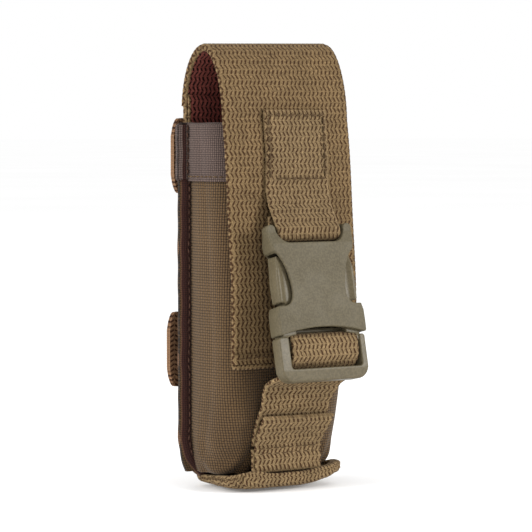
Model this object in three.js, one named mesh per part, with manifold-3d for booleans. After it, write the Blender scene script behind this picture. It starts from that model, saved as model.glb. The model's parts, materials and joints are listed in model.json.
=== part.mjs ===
// Webbing-flap tool pouch: a narrow Cordura pocket closed by an arched webbing flap and a side-release buckle.
// Millimetres. +X is the wearer's left, +Y points at the carrier behind the pouch, +Z is up.
// Heights below are counted from the underside of the base; the finished group is shifted so that the
// origin lies on the rear face of the upper back band, the face that rests on the carrier.
import * as THREE from "three";
import { mergeVertices } from "three/addons/utils/BufferGeometryUtils.js";
import Module from "manifold-3d";

const wasm = await Module();
wasm.setup();

// ---------------------------------------------------------------- driving dimensions
const GAP = 0.35; // clearance between pieces that touch on the real pouch
const WIDE_WEB = { width: 50, thick: 2.4 };
const NARROW_WEB = { width: 25, thick: 1.6 };

const MOUTH_HEIGHT = 120.6;
const PANEL = { halfWidth: 24.2, rear: -2.8, thick: 1.5, bottom: 4.6, cornerRadius: 11.3, topInset: 1 };
const BACK_WEB = { halfWidth: 24.2, front: -2.5, rear: -0.1, bottom: 9.2 };
const SHELL = { wall: 1.4, rear: -5, bottom: 3.6, floorTop: 5.2, cornerRadius: 8.5, halfWidth: 22.5 };
const TUCK = { depth: 2.2, height: 20 }; // the pocket narrows towards its bottom
const HEM = { height: 19, thick: 0.8, rise: 0.4, rear: -5.2 };
const BINDING = { width: 3.6, depth: 1.85, innerX: 24.6, rear: -2.8, endAngle: -52 };
const BASE = {
  halfWidth: 20.5,
  cornerRadius: 7,
  thick: 2.4,
  rear: -0.1,
  rearTop: 8.6,
  rearTurn: 3.2,
  frontY: -26.4,
  frontTurn: 2.6,
  lipTop: 4.7,
  lipLean: 0.2,
};
const BAND = { halfWidth: 29.2, height: 25, thick: 2, front: 0.4, cornerRadius: 2, upperZ: 110, lowerZ: 45 };
const REAR_STRAP = { thick: 1.8, anchorFront: 0.25, anchorRadius: 1, hingeZ: 88, laidFront: 2.75, bottom: 14 };
const REAR_STRAP_STEP = { sewn: 6, above: 8, onto: 2, ease: 0.3 }; // how the strap climbs onto the band
const STUD = {
  z: 22,
  footY: 0.2,
  flangeRadius: 5,
  flangeThick: 0.7,
  neckRadius: 1.9,
  neckEnd: 2.4,
  socketRadius: 5.4,
  socketBore: 2.4,
  socketFront: 1.3,
};
const CAP = { radius: 6.2, rim: 0.5, bevel: 1, shoulder: 1.2, thick: 1.5 };

const ARCH = { centreY: -13.3, springZ: 122, halfDepth: 13.5, rise: 25.5 };
const FLAP = { hingeZ: 127, frontY: -32.6, tipTop: 58, bottom: 40.6 };
const FLAP_HEM = { height: 3.3, thick: 3.2, proud: 0.4, overhang: 0.2, rounding: 1.4 };

const BUCKLE = { tilt: 12.7, mouthY: -44.1, mouthZ: 51.5, halfWidth: 17.2, thick: 9, rounding: 1.2 };
const FEMALE = {
  mouthRise: 4.4,
  collar: 9.6,
  collarTop: 7,
  waistInset: 1.2,
  waistZ: 18,
  shoulderZ: 31,
  blockTop: 30.4,
  earTop: 36.8,
  earRadius: 1.9,
  earInnerX: 13.2,
  barZ: 34.2,
  barRadius: 1.5,
  barHalf: 14.6,
};
const SOCKET = {
  mouthHalf: 15.7,
  mouthTop: 8.8,
  hollowHalf: 14.8,
  hollowFrom: 7.6,
  hollowTo: 28,
  halfThick: 3,
};
const WINDOW = {
  topX: 15.6,
  topZ: 27.2,
  outerRise: 0.6,
  innerX: 10.9,
  innerZ: 14.4,
  bottomX: 14.2,
  bottomLift: 0.2,
};
const MALE = {
  top: -0.6,
  bottom: -15.2,
  thick: 5,
  cornerRadius: 3,
  rounding: 0.8,
  railInner: 13,
  lowerBarTop: -11.2,
  barZ: -3.7,
  barRadius: 1.6,
  barHalf: 14,
};
const PRONG = {
  thick: 5,
  rounding: 0.5,
  innerX: 9.8,
  rootX: 15.2,
  rootZ: 0.2,
  rootTop: 2,
  neckX: 13.2,
  neckZ: 3.6,
  headX: 16.3,
  headBase: 10.8,
  tipX: 14.4,
  tipZ: 26.4,
  tipInnerX: 12.7,
  tipInnerZ: 25.6,
};

const UPPER_STRAP = { top: 123.6, hingeZ: 98.6 };
const LOWER_STRAP = { stitchZ: 13.4, stitchY: -25, foldZ: 5.7, tabTop: 24.4, tabWidth: 28, extraWidth: 1 };
const STRAP_FOLD = { front: 2.6, rear: 1.3, rounding: 1.3 }; // the sewn fold, about the stitching's depth
const SEGMENTS = 14; // steps along each curved stretch
const REACH = 8; // half the depth of a tool that cuts right through the buckle

const COLOURS = {
  webbing: 0x93805a,
  cordura: 0x7d6b55,
  tape: 0x7a6a66,
  binding: 0x6b563f,
  plastic: 0x857a67,
  snap: 0x4a4239,
};

// ---------------------------------------------------------------- geometry helpers
const radians = THREE.MathUtils.degToRad;
const point = (a, b) => new THREE.Vector2(a, b);

// A closed geometry as a manifold solid.
function solid(geometry) {
  const bare = geometry.index ? geometry.toNonIndexed() : geometry.clone();
  bare.deleteAttribute("normal");
  bare.deleteAttribute("uv");
  const merged = mergeVertices(bare, 1e-4);
  return new wasm.Manifold(
    new wasm.Mesh({
      numProp: 3,
      vertProperties: new Float32Array(merged.attributes.position.array),
      triVerts: new Uint32Array(merged.index.array),
    }),
  );
}

// A manifold solid as a geometry again.
function geometryOf(manifold) {
  const mesh = manifold.getMesh();
  const positions = new Float32Array(mesh.numVert * 3);
  for (let i = 0; i < mesh.numVert; i++)
    positions.set(mesh.vertProperties.subarray(i * mesh.numProp, i * mesh.numProp + 3), i * 3);
  const geometry = new THREE.BufferGeometry();
  geometry.setAttribute("position", new THREE.BufferAttribute(positions, 3));
  geometry.setIndex(new THREE.BufferAttribute(new Uint32Array(mesh.triVerts), 1));
  geometry.computeVertexNormals();
  return geometry;
}

const cut = (body, ...tools) =>
  geometryOf(tools.reduce((left, tool) => left.subtract(solid(tool)), solid(body)));
const join = (...bodies) => geometryOf(bodies.map(solid).reduce((all, next) => all.add(next)));

const PLAIN = { bevelEnabled: false, curveSegments: 7 };
const alongX = new THREE.Matrix4().makeBasis(
  new THREE.Vector3(0, 1, 0),
  new THREE.Vector3(0, 0, 1),
  new THREE.Vector3(1, 0, 0),
);
const alongY = new THREE.Matrix4().makeBasis(
  new THREE.Vector3(1, 0, 0),
  new THREE.Vector3(0, 0, 1),
  new THREE.Vector3(0, -1, 0),
);

// A side profile, drawn as (y, z), extruded to a width centred on x = 0.
function extrudeAcross(shape, width) {
  const geometry = new THREE.ExtrudeGeometry(shape, { ...PLAIN, depth: width });
  return geometry.applyMatrix4(alongX).translate(-width / 2, 0, 0);
}

// A front outline, drawn as (x, z), extruded from y = front to y = rear, optionally with rounded edges.
function extrudeDeep(shape, front, rear, rounding = 0) {
  const options = { ...PLAIN, depth: rear - front - 2 * rounding };
  if (rounding > 0) {
    options.bevelEnabled = true;
    options.bevelThickness = rounding;
    options.bevelSize = rounding;
    options.bevelOffset = -rounding;
    options.bevelSegments = 2;
  }
  const geometry = new THREE.ExtrudeGeometry(shape, options);
  return geometry.applyMatrix4(alongY).translate(0, rear - rounding, 0);
}

function box(x0, x1, y0, y1, z0, z1) {
  const geometry = new THREE.BoxGeometry(x1 - x0, y1 - y0, z1 - z0);
  return geometry.translate((x0 + x1) / 2, (y0 + y1) / 2, (z0 + z1) / 2);
}

function roundedRectangle(x0, x1, z0, z1, radius) {
  const shape = new THREE.Shape();
  shape.moveTo(x0 + radius, z0);
  shape.lineTo(x1 - radius, z0);
  shape.absarc(x1 - radius, z0 + radius, radius, -Math.PI / 2, 0);
  shape.lineTo(x1, z1 - radius);
  shape.absarc(x1 - radius, z1 - radius, radius, 0, Math.PI / 2);
  shape.lineTo(x0 + radius, z1);
  shape.absarc(x0 + radius, z1 - radius, radius, Math.PI / 2, Math.PI);
  shape.lineTo(x0, z0 + radius);
  shape.absarc(x0 + radius, z0 + radius, radius, Math.PI, 1.5 * Math.PI);
  return shape;
}

// Points moved sideways from a line by a distance, to the left of its direction of travel.
function offsetLine(line, distance) {
  return line.map((p, i) => {
    const before = line[Math.max(i - 1, 0)];
    const after = line[Math.min(i + 1, line.length - 1)];
    const along = after.clone().sub(before).normalize();
    return point(p.x - along.y * distance, p.y + along.x * distance);
  });
}

// A strip of webbing that follows a centre line, drawn as (y, z).
function strip(line, thick, width) {
  const edge = [...offsetLine(line, thick / 2), ...offsetLine(line, -thick / 2).reverse()];
  return extrudeAcross(new THREE.Shape(edge), width);
}

// Points round an arc in the (y, z) plane, with angles in degrees from the rear, turning upwards.
function arc(y, z, radius, from, to, steps) {
  return Array.from({ length: steps + 1 }, (_, i) => {
    const angle = radians(THREE.MathUtils.lerp(from, to, i / steps));
    return point(y + radius * Math.cos(angle), z + radius * Math.sin(angle));
  });
}

const spline = (points, steps = SEGMENTS) =>
  new THREE.SplineCurve(points.map(([y, z]) => point(y, z))).getPoints(steps);

// A closed skin over matching loops of points, flat at both ends. The loops are convex.
function loft(loops) {
  const count = loops[0].length;
  const positions = loops.flat().flatMap((p) => [p.x, p.y, p.z]);
  const index = [];
  for (let level = 0; level + 1 < loops.length; level++)
    for (let i = 0; i < count; i++) {
      const next = (i + 1) % count;
      const [a, b] = [level * count + i, level * count + next];
      const [c, d] = [a + count, b + count];
      index.push(a, b, d, a, d, c);
    }
  const top = (loops.length - 1) * count;
  for (let i = 1; i + 1 < count; i++) {
    index.push(0, i + 1, i);
    index.push(top, top + i, top + i + 1);
  }
  const geometry = new THREE.BufferGeometry();
  geometry.setAttribute("position", new THREE.Float32BufferAttribute(positions, 3));
  geometry.setIndex(index);
  return geometry;
}

function cylinderAlongX(radius, x0, x1, y, z) {
  const geometry = new THREE.CylinderGeometry(radius, radius, x1 - x0, 16);
  return geometry.rotateZ(Math.PI / 2).translate((x0 + x1) / 2, y, z);
}

// A turned piece about an axis along +Y, from a profile of (radius, y) that starts and ends on the axis.
function turned(profile, z) {
  const geometry = new THREE.LatheGeometry(
    profile.map(([r, y]) => point(r, y)),
    24,
  );
  return geometry.translate(0, 0, z);
}

// ---------------------------------------------------------------- pocket
// Distance of the pocket's front face from the back, by height.
const FRONT_PROFILE = new THREE.SplineCurve([
  point(SHELL.bottom, 20.4),
  point(12, 22.8),
  point(24, 26.6),
  point(40, 28.9),
  point(60, 28.2),
  point(82, 26.4),
  point(100, 24.4),
  point(MOUTH_HEIGHT, 22.4),
]).getPoints(40);

function frontAt(height) {
  const after = FRONT_PROFILE.find((p) => p.x >= height) ?? FRONT_PROFILE.at(-1);
  const before = FRONT_PROFILE[Math.max(FRONT_PROFILE.indexOf(after) - 1, 0)];
  const share = after.x > before.x ? (height - before.x) / (after.x - before.x) : 0;
  return THREE.MathUtils.lerp(before.y, after.y, THREE.MathUtils.clamp(share, 0, 1));
}

const halfWidthAt = (height) =>
  SHELL.halfWidth - TUCK.depth * Math.max(0, 1 - height / TUCK.height) ** 2;

// One level of the pocket: straight sides, round front corners, open to the rear.
function pocketLoop(height, grow, rear) {
  const half = halfWidthAt(height) + grow;
  const front = -(frontAt(height) + grow);
  const radius = SHELL.cornerRadius + grow;
  const loop = [new THREE.Vector3(half, rear, height), new THREE.Vector3(-half, rear, height)];
  for (const [centreX, start] of [
    [-half + radius, Math.PI],
    [half - radius, 1.5 * Math.PI],
  ])
    for (let i = 0; i <= 6; i++) {
      const angle = start + (i / 6) * (Math.PI / 2);
      const x = centreX + radius * Math.cos(angle);
      loop.push(new THREE.Vector3(x, front + radius + radius * Math.sin(angle), height));
    }
  return loop;
}

function pocketSolid(from, to, grow, rear, levels) {
  const loops = [];
  for (let i = 0; i <= levels; i++)
    loops.push(pocketLoop(THREE.MathUtils.lerp(from, to, i / levels), grow, rear));
  return loft(loops);
}

function bodyShell() {
  const outer = pocketSolid(SHELL.bottom, MOUTH_HEIGHT, 0, SHELL.rear, SEGMENTS);
  const inner = pocketSolid(SHELL.floorTop, MOUTH_HEIGHT + 2, -SHELL.wall, SHELL.rear + 2, SEGMENTS);
  return cut(outer, inner);
}

function mouthHem() {
  const from = MOUTH_HEIGHT - HEM.height;
  const outer = pocketSolid(from, MOUTH_HEIGHT + HEM.rise, GAP + HEM.thick, HEM.rear, 4);
  const inner = pocketSolid(from - 1, MOUTH_HEIGHT + 1, GAP, SHELL.rear + 2, 4);
  return cut(outer, inner);
}

function backPanel() {
  const { halfWidth, bottom, cornerRadius, rear, thick, topInset } = PANEL;
  const top = MOUTH_HEIGHT - topInset;
  const shape = new THREE.Shape();
  shape.moveTo(-halfWidth + cornerRadius, bottom);
  shape.lineTo(halfWidth - cornerRadius, bottom);
  shape.absarc(halfWidth - cornerRadius, bottom + cornerRadius, cornerRadius, -Math.PI / 2, 0);
  shape.lineTo(halfWidth, top);
  shape.lineTo(-halfWidth, top);
  shape.lineTo(-halfWidth, bottom + cornerRadius);
  shape.absarc(-halfWidth + cornerRadius, bottom + cornerRadius, cornerRadius, Math.PI, 1.5 * Math.PI);
  return extrudeDeep(shape, rear - thick, rear);
}

function backWebbing() {
  const { halfWidth, front, rear, bottom } = BACK_WEB;
  return box(-halfWidth, halfWidth, front, rear, bottom, FLAP.hingeZ - GAP);
}

// The bound edge of the side seam: straight down the side, then round the lower corner.
function binding(side) {
  const { width, depth, innerX, rear, endAngle } = BINDING;
  const radius = PANEL.cornerRadius + width + GAP;
  const turnZ = PANEL.bottom + PANEL.cornerRadius;
  const centreX = PANEL.halfWidth - PANEL.cornerRadius;
  const end = radians(endAngle);
  const shape = new THREE.Shape();
  shape.moveTo(innerX, MOUTH_HEIGHT);
  shape.lineTo(innerX, turnZ);
  shape.absarc(centreX, turnZ, innerX - centreX, 0, end, true);
  shape.absarc(centreX, turnZ, radius, end, 0, false);
  shape.lineTo(centreX + radius, MOUTH_HEIGHT);
  const geometry = extrudeDeep(shape, rear - depth, rear);
  return side > 0 ? geometry : mirrored(geometry);
}

// The same piece on the other side of the middle plane, with its faces turned out again.
function mirrored(geometry) {
  const flat = geometry.index ? geometry.toNonIndexed() : geometry.clone();
  flat.scale(-1, 1, 1);
  const values = flat.attributes.position.array;
  for (let i = 0; i < values.length; i += 9)
    for (let k = 0; k < 3; k++)
      [values[i + 3 + k], values[i + 6 + k]] = [values[i + 6 + k], values[i + 3 + k]];
  return flat;
}

function baseWebbing() {
  const { halfWidth, cornerRadius, thick, rear, rearTop, rearTurn, frontY, frontTurn, lipTop, lipLean } = BASE;
  const half = thick / 2;
  const rearY = rear - half;
  const line = [
    point(rearY, rearTop),
    ...arc(rearY - rearTurn, half + rearTurn, rearTurn, 0, -90, 6),
    ...arc(frontY + frontTurn, half + frontTurn, frontTurn, -90, -170, 6),
    point(frontY - lipLean, lipTop),
  ];
  const width = 2 * halfWidth;
  const plan = roundedRectangle(-halfWidth, halfWidth, frontY - half, cornerRadius, cornerRadius);
  const column = new THREE.ExtrudeGeometry(plan, { ...PLAIN, depth: 20 }).translate(0, 0, -5);
  return geometryOf(solid(strip(line, thick, width)).intersect(solid(column)));
}

function backBand(centreZ) {
  const { halfWidth, height, front, thick, cornerRadius } = BAND;
  const [bottom, top] = [centreZ - height / 2, centreZ + height / 2];
  const shape = roundedRectangle(-halfWidth, halfWidth, bottom, top, cornerRadius);
  return extrudeDeep(shape, front, front + thick);
}

// ---------------------------------------------------------------- rear attachment strap
// The sewn end of the strap, just below the upper band.
function attachmentStrapAnchor() {
  const { thick, anchorFront, anchorRadius, hingeZ } = REAR_STRAP;
  const half = NARROW_WEB.width / 2;
  const top = BAND.upperZ - BAND.height / 2 - GAP;
  const shape = roundedRectangle(-half, half, hingeZ + GAP, top, anchorRadius);
  return extrudeDeep(shape, anchorFront, anchorFront + thick);
}

// The free strap: away from the back webbing, over the lower band, and down to the snap.
function attachmentStrap() {
  const { thick, anchorFront, hingeZ, laidFront, bottom } = REAR_STRAP;
  const sewn = anchorFront + thick / 2;
  const laid = laidFront + thick / 2;
  const bandTop = BAND.lowerZ + BAND.height / 2;
  const step = REAR_STRAP_STEP;
  const line = spline([
    [sewn, hingeZ],
    [sewn + step.ease, hingeZ - step.sewn],
    [laid - step.ease, bandTop + step.above],
    [laid, bandTop + step.onto],
    [laid, BAND.lowerZ],
    [laid, bottom],
  ]);
  return strip(line, thick, NARROW_WEB.width);
}

function studPost() {
  const { neckRadius, flangeRadius, flangeThick, footY, neckEnd } = STUD;
  const flange = footY + flangeThick;
  const profile = [[0, footY], [flangeRadius, footY], [flangeRadius, flange], [neckRadius, flange]];
  return turned([...profile, [neckRadius, neckEnd], [0, neckEnd]], STUD.z);
}

function studSocket() {
  const { socketBore: bore, socketRadius: radius, socketFront: front } = STUD;
  const rear = REAR_STRAP.laidFront - GAP;
  return turned([[bore, front], [radius, front], [radius, rear], [bore, rear], [bore, front]], STUD.z);
}

function studCap() {
  const { radius, rim, bevel, shoulder, thick } = CAP;
  const face = REAR_STRAP.laidFront + REAR_STRAP.thick + GAP;
  const edge = [[radius, face], [radius, face + rim], [radius - bevel, face + shoulder]];
  return turned([[0, face], ...edge, [0, face + thick]], STUD.z);
}

// ---------------------------------------------------------------- flap
// Outer face of the arch between two angles, in degrees from the rear, as (y, z).
function archLine(from, to, steps) {
  const { centreY, springZ, halfDepth, rise } = ARCH;
  return Array.from({ length: steps + 1 }, (_, i) => {
    const angle = radians(THREE.MathUtils.lerp(from, to, i / steps));
    return point(centreY + halfDepth * Math.cos(angle), springZ + rise * Math.sin(angle));
  });
}

// Outer face of the flap's front leg between two heights. It leans out as it comes down.
function flapFrontY(height) {
  const top = ARCH.centreY - ARCH.halfDepth;
  const share = (height - FLAP.bottom) / (ARCH.springZ - FLAP.bottom);
  return FLAP.frontY + (top - FLAP.frontY) * share ** 2;
}

function flapFront(from, to, steps) {
  return Array.from({ length: steps + 1 }, (_, i) => {
    const height = THREE.MathUtils.lerp(from, to, i / steps);
    return point(flapFrontY(height), height);
  });
}

// A stretch of the flap's webbing whose outer face follows a line.
const flapSheet = (line) => strip(offsetLine(line, WIDE_WEB.thick / 2), WIDE_WEB.thick, WIDE_WEB.width);

// The flap above its tip, less everything between two depths. It is parted at the crest of the arch.
function flapWithout(from, to) {
  const foot = THREE.MathUtils.radToDeg(Math.asin((FLAP.hingeZ + GAP - ARCH.springZ) / ARCH.rise));
  const whole = flapSheet([...archLine(foot, 180, 18), ...flapFront(ARCH.springZ - 4, FLAP.tipTop, 8)]);
  const top = ARCH.springZ + ARCH.rise + 1;
  return cut(whole, box(-WIDE_WEB.width, WIDE_WEB.width, from, to, 0, top));
}

const flapArch = () => flapWithout(BUCKLE.mouthY, ARCH.centreY + GAP / 2);
const flapFrontLeg = () => flapWithout(ARCH.centreY - GAP / 2, WIDE_WEB.thick);

const flapTip = () =>
  flapSheet(flapFront(FLAP.tipTop - GAP, FLAP.bottom + FLAP_HEM.height + GAP, 4));

function flapHem() {
  const { height, thick, proud, overhang, rounding } = FLAP_HEM;
  const front = flapFrontY(FLAP.bottom) - proud;
  const shape = roundedRectangle(front, front + thick, FLAP.bottom, FLAP.bottom + height, rounding);
  return extrudeAcross(shape, WIDE_WEB.width + 2 * overhang);
}

function upperStrap() {
  const line = flapFront(UPPER_STRAP.top, UPPER_STRAP.hingeZ, 8);
  const stand = GAP + NARROW_WEB.thick / 2;
  return strip(offsetLine(line, -stand), NARROW_WEB.thick, NARROW_WEB.width);
}

// ---------------------------------------------------------------- buckle
// The buckle is drawn upright about its mouth: x across, y to the rear, z along it, then tilted.
const tilt = radians(BUCKLE.tilt);

function onBuckle(y, z) {
  return point(
    BUCKLE.mouthY + y * Math.cos(tilt) + z * Math.sin(tilt),
    BUCKLE.mouthZ - y * Math.sin(tilt) + z * Math.cos(tilt),
  );
}

function windowCutter() {
  const { topZ, topX, outerRise, innerX, innerZ, bottomX, bottomLift } = WINDOW;
  const outside = BUCKLE.halfWidth + 3;
  const shape = new THREE.Shape();
  shape.moveTo(outside, FEMALE.collar);
  shape.lineTo(outside, topZ + outerRise);
  shape.lineTo(topX, topZ);
  shape.bezierCurveTo(13, 25.4, 11, 20, innerX, innerZ);
  shape.quadraticCurveTo(11, 10.2, bottomX, FEMALE.collar + bottomLift);
  return extrudeDeep(shape, -REACH, REACH);
}

// Front outline of the female half, with an arched mouth, a waist and two ears.
function femaleOutline() {
  const w = BUCKLE.halfWidth;
  const { mouthRise, collarTop, waistInset, waistZ, shoulderZ } = FEMALE;
  const { blockTop, earTop, earRadius, earInnerX } = FEMALE;
  const waist = w - waistInset;
  const earZ = earTop - earRadius;
  const outline = new THREE.Shape();
  outline.moveTo(-w, 0);
  outline.quadraticCurveTo(0, mouthRise, w, 0);
  outline.lineTo(w, collarTop);
  outline.bezierCurveTo(w, 12, waist, 12, waist, waistZ);
  outline.bezierCurveTo(waist, 24, w, 26, w, shoulderZ);
  outline.absarc(w - earRadius, earZ, earRadius, 0, Math.PI);
  outline.lineTo(earInnerX, blockTop);
  outline.lineTo(-earInnerX, blockTop);
  outline.lineTo(-w + 2 * earRadius, earZ);
  outline.absarc(-w + earRadius, earZ, earRadius, 0, Math.PI);
  outline.lineTo(-w, shoulderZ);
  outline.bezierCurveTo(-w, 26, -waist, 24, -waist, waistZ);
  outline.bezierCurveTo(-waist, 12, -w, 12, -w, collarTop);
  return outline;
}

function buckleFemale() {
  const half = BUCKLE.thick / 2;
  const { mouthHalf, hollowHalf, halfThick, mouthTop, hollowFrom, hollowTo } = SOCKET;
  const body = extrudeDeep(femaleOutline(), -half, half, BUCKLE.rounding);
  const mouth = box(-mouthHalf, mouthHalf, -halfThick, halfThick, -2, mouthTop);
  const hollow = box(-hollowHalf, hollowHalf, -halfThick, halfThick, hollowFrom, hollowTo);
  const cutter = windowCutter();
  const slot = FEMALE.earInnerX;
  const earRelief = box(-slot, slot, -REACH, REACH, FEMALE.blockTop, FEMALE.earTop + 2);
  const housing = cut(body, mouth, hollow, cutter, mirrored(cutter), earRelief);
  const bar = cylinderAlongX(FEMALE.barRadius, -FEMALE.barHalf, FEMALE.barHalf, 0, FEMALE.barZ);
  return join(housing, bar);
}

function buckleMale() {
  const w = BUCKLE.halfWidth;
  const { top, bottom, thick, cornerRadius, rounding, railInner, lowerBarTop, barHalf } = MALE;
  const [cornerX, cornerZ] = [w - cornerRadius, bottom + cornerRadius];
  const outline = new THREE.Shape();
  outline.moveTo(-w, top);
  outline.lineTo(-w, cornerZ);
  outline.absarc(-cornerX, cornerZ, cornerRadius, Math.PI, 1.5 * Math.PI);
  outline.lineTo(cornerX, bottom);
  outline.absarc(cornerX, cornerZ, cornerRadius, 1.5 * Math.PI, 2 * Math.PI);
  outline.lineTo(w, top);
  outline.lineTo(railInner, top);
  outline.lineTo(railInner, lowerBarTop);
  outline.lineTo(-railInner, lowerBarTop);
  outline.lineTo(-railInner, top);
  const frame = extrudeDeep(outline, -thick / 2, thick / 2, rounding);
  return join(frame, cylinderAlongX(MALE.barRadius, -barHalf, barHalf, 0, MALE.barZ));
}

function prong(side) {
  const { thick, rounding, innerX, rootX, rootZ, rootTop, neckX, neckZ } = PRONG;
  const { headX, headBase, tipX, tipZ, tipInnerX, tipInnerZ } = PRONG;
  const outline = new THREE.Shape();
  outline.moveTo(innerX, rootZ);
  outline.lineTo(rootX, rootZ);
  outline.lineTo(rootX, rootTop);
  outline.lineTo(neckX, neckZ);
  outline.lineTo(neckX, headBase);
  outline.lineTo(headX, headBase);
  outline.bezierCurveTo(headX, 17, 16, 22, tipX, tipZ);
  outline.lineTo(tipInnerX, tipInnerZ);
  outline.quadraticCurveTo(innerX, 19, innerX, 11);
  const geometry = extrudeDeep(outline, -thick / 2, thick / 2, rounding);
  return side > 0 ? geometry : mirrored(geometry);
}

function onTiltedBuckle(geometry) {
  return geometry.rotateX(-tilt).translate(0, BUCKLE.mouthY, BUCKLE.mouthZ);
}

// Part of a loop round a bar of the buckle, in degrees from straight back, turning upwards.
const roundBar = (barZ, ...turn) => arc(0, barZ, ...turn).map((p) => onBuckle(p.x, p.y));

// The free end of the upper strap: down to the buckle, under its bar and back up behind.
function upperStrapLoop() {
  const stand = GAP + NARROW_WEB.thick / 2;
  const startZ = UPPER_STRAP.hingeZ - GAP;
  const start = [startZ, startZ - 1].map((z) => point(flapFrontY(startZ) - stand, z));
  const radius = FEMALE.barRadius + GAP + NARROW_WEB.thick / 2;
  const turn = roundBar(FEMALE.barZ, radius, 170, 350, 10);
  const tail = [onBuckle(radius + 0.3, FEMALE.barZ + 2.4), onBuckle(radius + 0.1, FEMALE.barZ + 5)];
  return strip([...start, ...turn, ...tail], NARROW_WEB.thick, NARROW_WEB.width);
}

// The end of the lower strap in the ladder lock: up through the slot, over the bar, and down as the tail.
function ladderLoop() {
  const radius = MALE.barRadius + GAP + NARROW_WEB.thick / 2;
  const entry = [onBuckle(2.4, MALE.barZ - 4.7), onBuckle(-0.6, MALE.barZ - 3.5)];
  const turn = roundBar(MALE.barZ, radius, 215, 20, 12);
  const tail = [onBuckle(4.1, MALE.barZ - 0.9), onBuckle(8.2, MALE.barZ - 3.6), onBuckle(11, MALE.barZ - 6.2)];
  return strip([...entry, ...turn, ...tail], NARROW_WEB.thick, NARROW_WEB.width);
}

// ---------------------------------------------------------------- lower strap
// Middle of the strap between its stitching on the pocket and the ladder lock, from the bottom up.
function lowerStrapLine() {
  const top = onBuckle(3.3, MALE.barZ - 5.3);
  const { stitchY, stitchZ } = LOWER_STRAP;
  return spline([
    [stitchY + 0.4, stitchZ + GAP],
    [stitchY - 1.4, 17.6],
    [-31.4, 26.6],
    [-37.6, 36.4],
    [top.x, top.y],
  ]);
}

const lowerStrap = () =>
  strip(lowerStrapLine(), NARROW_WEB.thick, NARROW_WEB.width + LOWER_STRAP.extraWidth);

// The turned-up end of the strap, free above the stitching, lies on the strap's front.
function lowerStrapTab() {
  const covered = lowerStrapLine().filter((p) => p.y <= LOWER_STRAP.tabTop);
  const line = offsetLine(covered, NARROW_WEB.thick + GAP);
  return strip(line, NARROW_WEB.thick, LOWER_STRAP.tabWidth);
}

function lowerStrapAnchor() {
  const { stitchY, stitchZ, foldZ, tabWidth, extraWidth } = LOWER_STRAP;
  const { front, rear, rounding } = STRAP_FOLD;
  const shape = roundedRectangle(stitchY - front, stitchY + rear, foldZ, stitchZ - 3 * GAP, rounding);
  return extrudeAcross(shape, tabWidth + extraWidth);
}

// ---------------------------------------------------------------- assembly
const pouch = new THREE.Group();
// The origin is on the rear face of the upper back band.
pouch.position.set(0, -(BAND.front + BAND.thick), -BAND.upperZ);

function add(name, geometry, colour, roughness = 0.9, metalness = 0) {
  const material = new THREE.MeshStandardMaterial({ color: colour, roughness, metalness });
  const mesh = new THREE.Mesh(geometry, material);
  mesh.name = name;
  pouch.add(mesh);
}

add("back_panel", backPanel(), COLOURS.cordura);
add("back_webbing", backWebbing(), COLOURS.webbing);
add("body_shell", bodyShell(), COLOURS.cordura);
add("mouth_hem_tape", mouthHem(), COLOURS.tape);
add("seam_binding_left", binding(1), COLOURS.binding);
add("seam_binding_right", binding(-1), COLOURS.binding);
add("base_webbing", baseWebbing(), COLOURS.webbing);
add("back_band_upper", backBand(BAND.upperZ), COLOURS.webbing);
add("back_band_lower", backBand(BAND.lowerZ), COLOURS.webbing);
add("attachment_strap_anchor", attachmentStrapAnchor(), COLOURS.webbing);
add("attachment_strap", attachmentStrap(), COLOURS.webbing);
add("snap_post", studPost(), COLOURS.snap, 0.45, 0.6);
add("snap_socket", studSocket(), COLOURS.snap, 0.45, 0.6);
add("snap_cap", studCap(), COLOURS.snap, 0.45, 0.6);
add("flap_arch", flapArch(), COLOURS.webbing);
add("flap_front", flapFrontLeg(), COLOURS.webbing);
add("flap_tip", flapTip(), COLOURS.webbing);
add("flap_hem", flapHem(), COLOURS.webbing);
add("upper_strap", upperStrap(), COLOURS.webbing);
add("upper_strap_loop", upperStrapLoop(), COLOURS.webbing);
add("buckle_female", onTiltedBuckle(buckleFemale()), COLOURS.plastic, 0.5);
add("buckle_male_frame", onTiltedBuckle(buckleMale()), COLOURS.plastic, 0.5);
add("buckle_prong_left", onTiltedBuckle(prong(1)), COLOURS.plastic, 0.5);
add("buckle_prong_right", onTiltedBuckle(prong(-1)), COLOURS.plastic, 0.5);
add("ladder_loop", ladderLoop(), COLOURS.webbing);
add("lower_strap", lowerStrap(), COLOURS.webbing);
add("lower_strap_tab", lowerStrapTab(), COLOURS.webbing);
add("lower_strap_anchor", lowerStrapAnchor(), COLOURS.webbing);

export default pouch;
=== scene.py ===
"""A webbing-flap tool pouch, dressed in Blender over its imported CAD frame.

Lengths here are millimetres in the pouch's own frame: z = 0 under the base, y = 0 behind the flap's foot, and
+Y to the rear. Left and right in names are the wearer's, so left is +X.
"""
import json
import math

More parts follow.
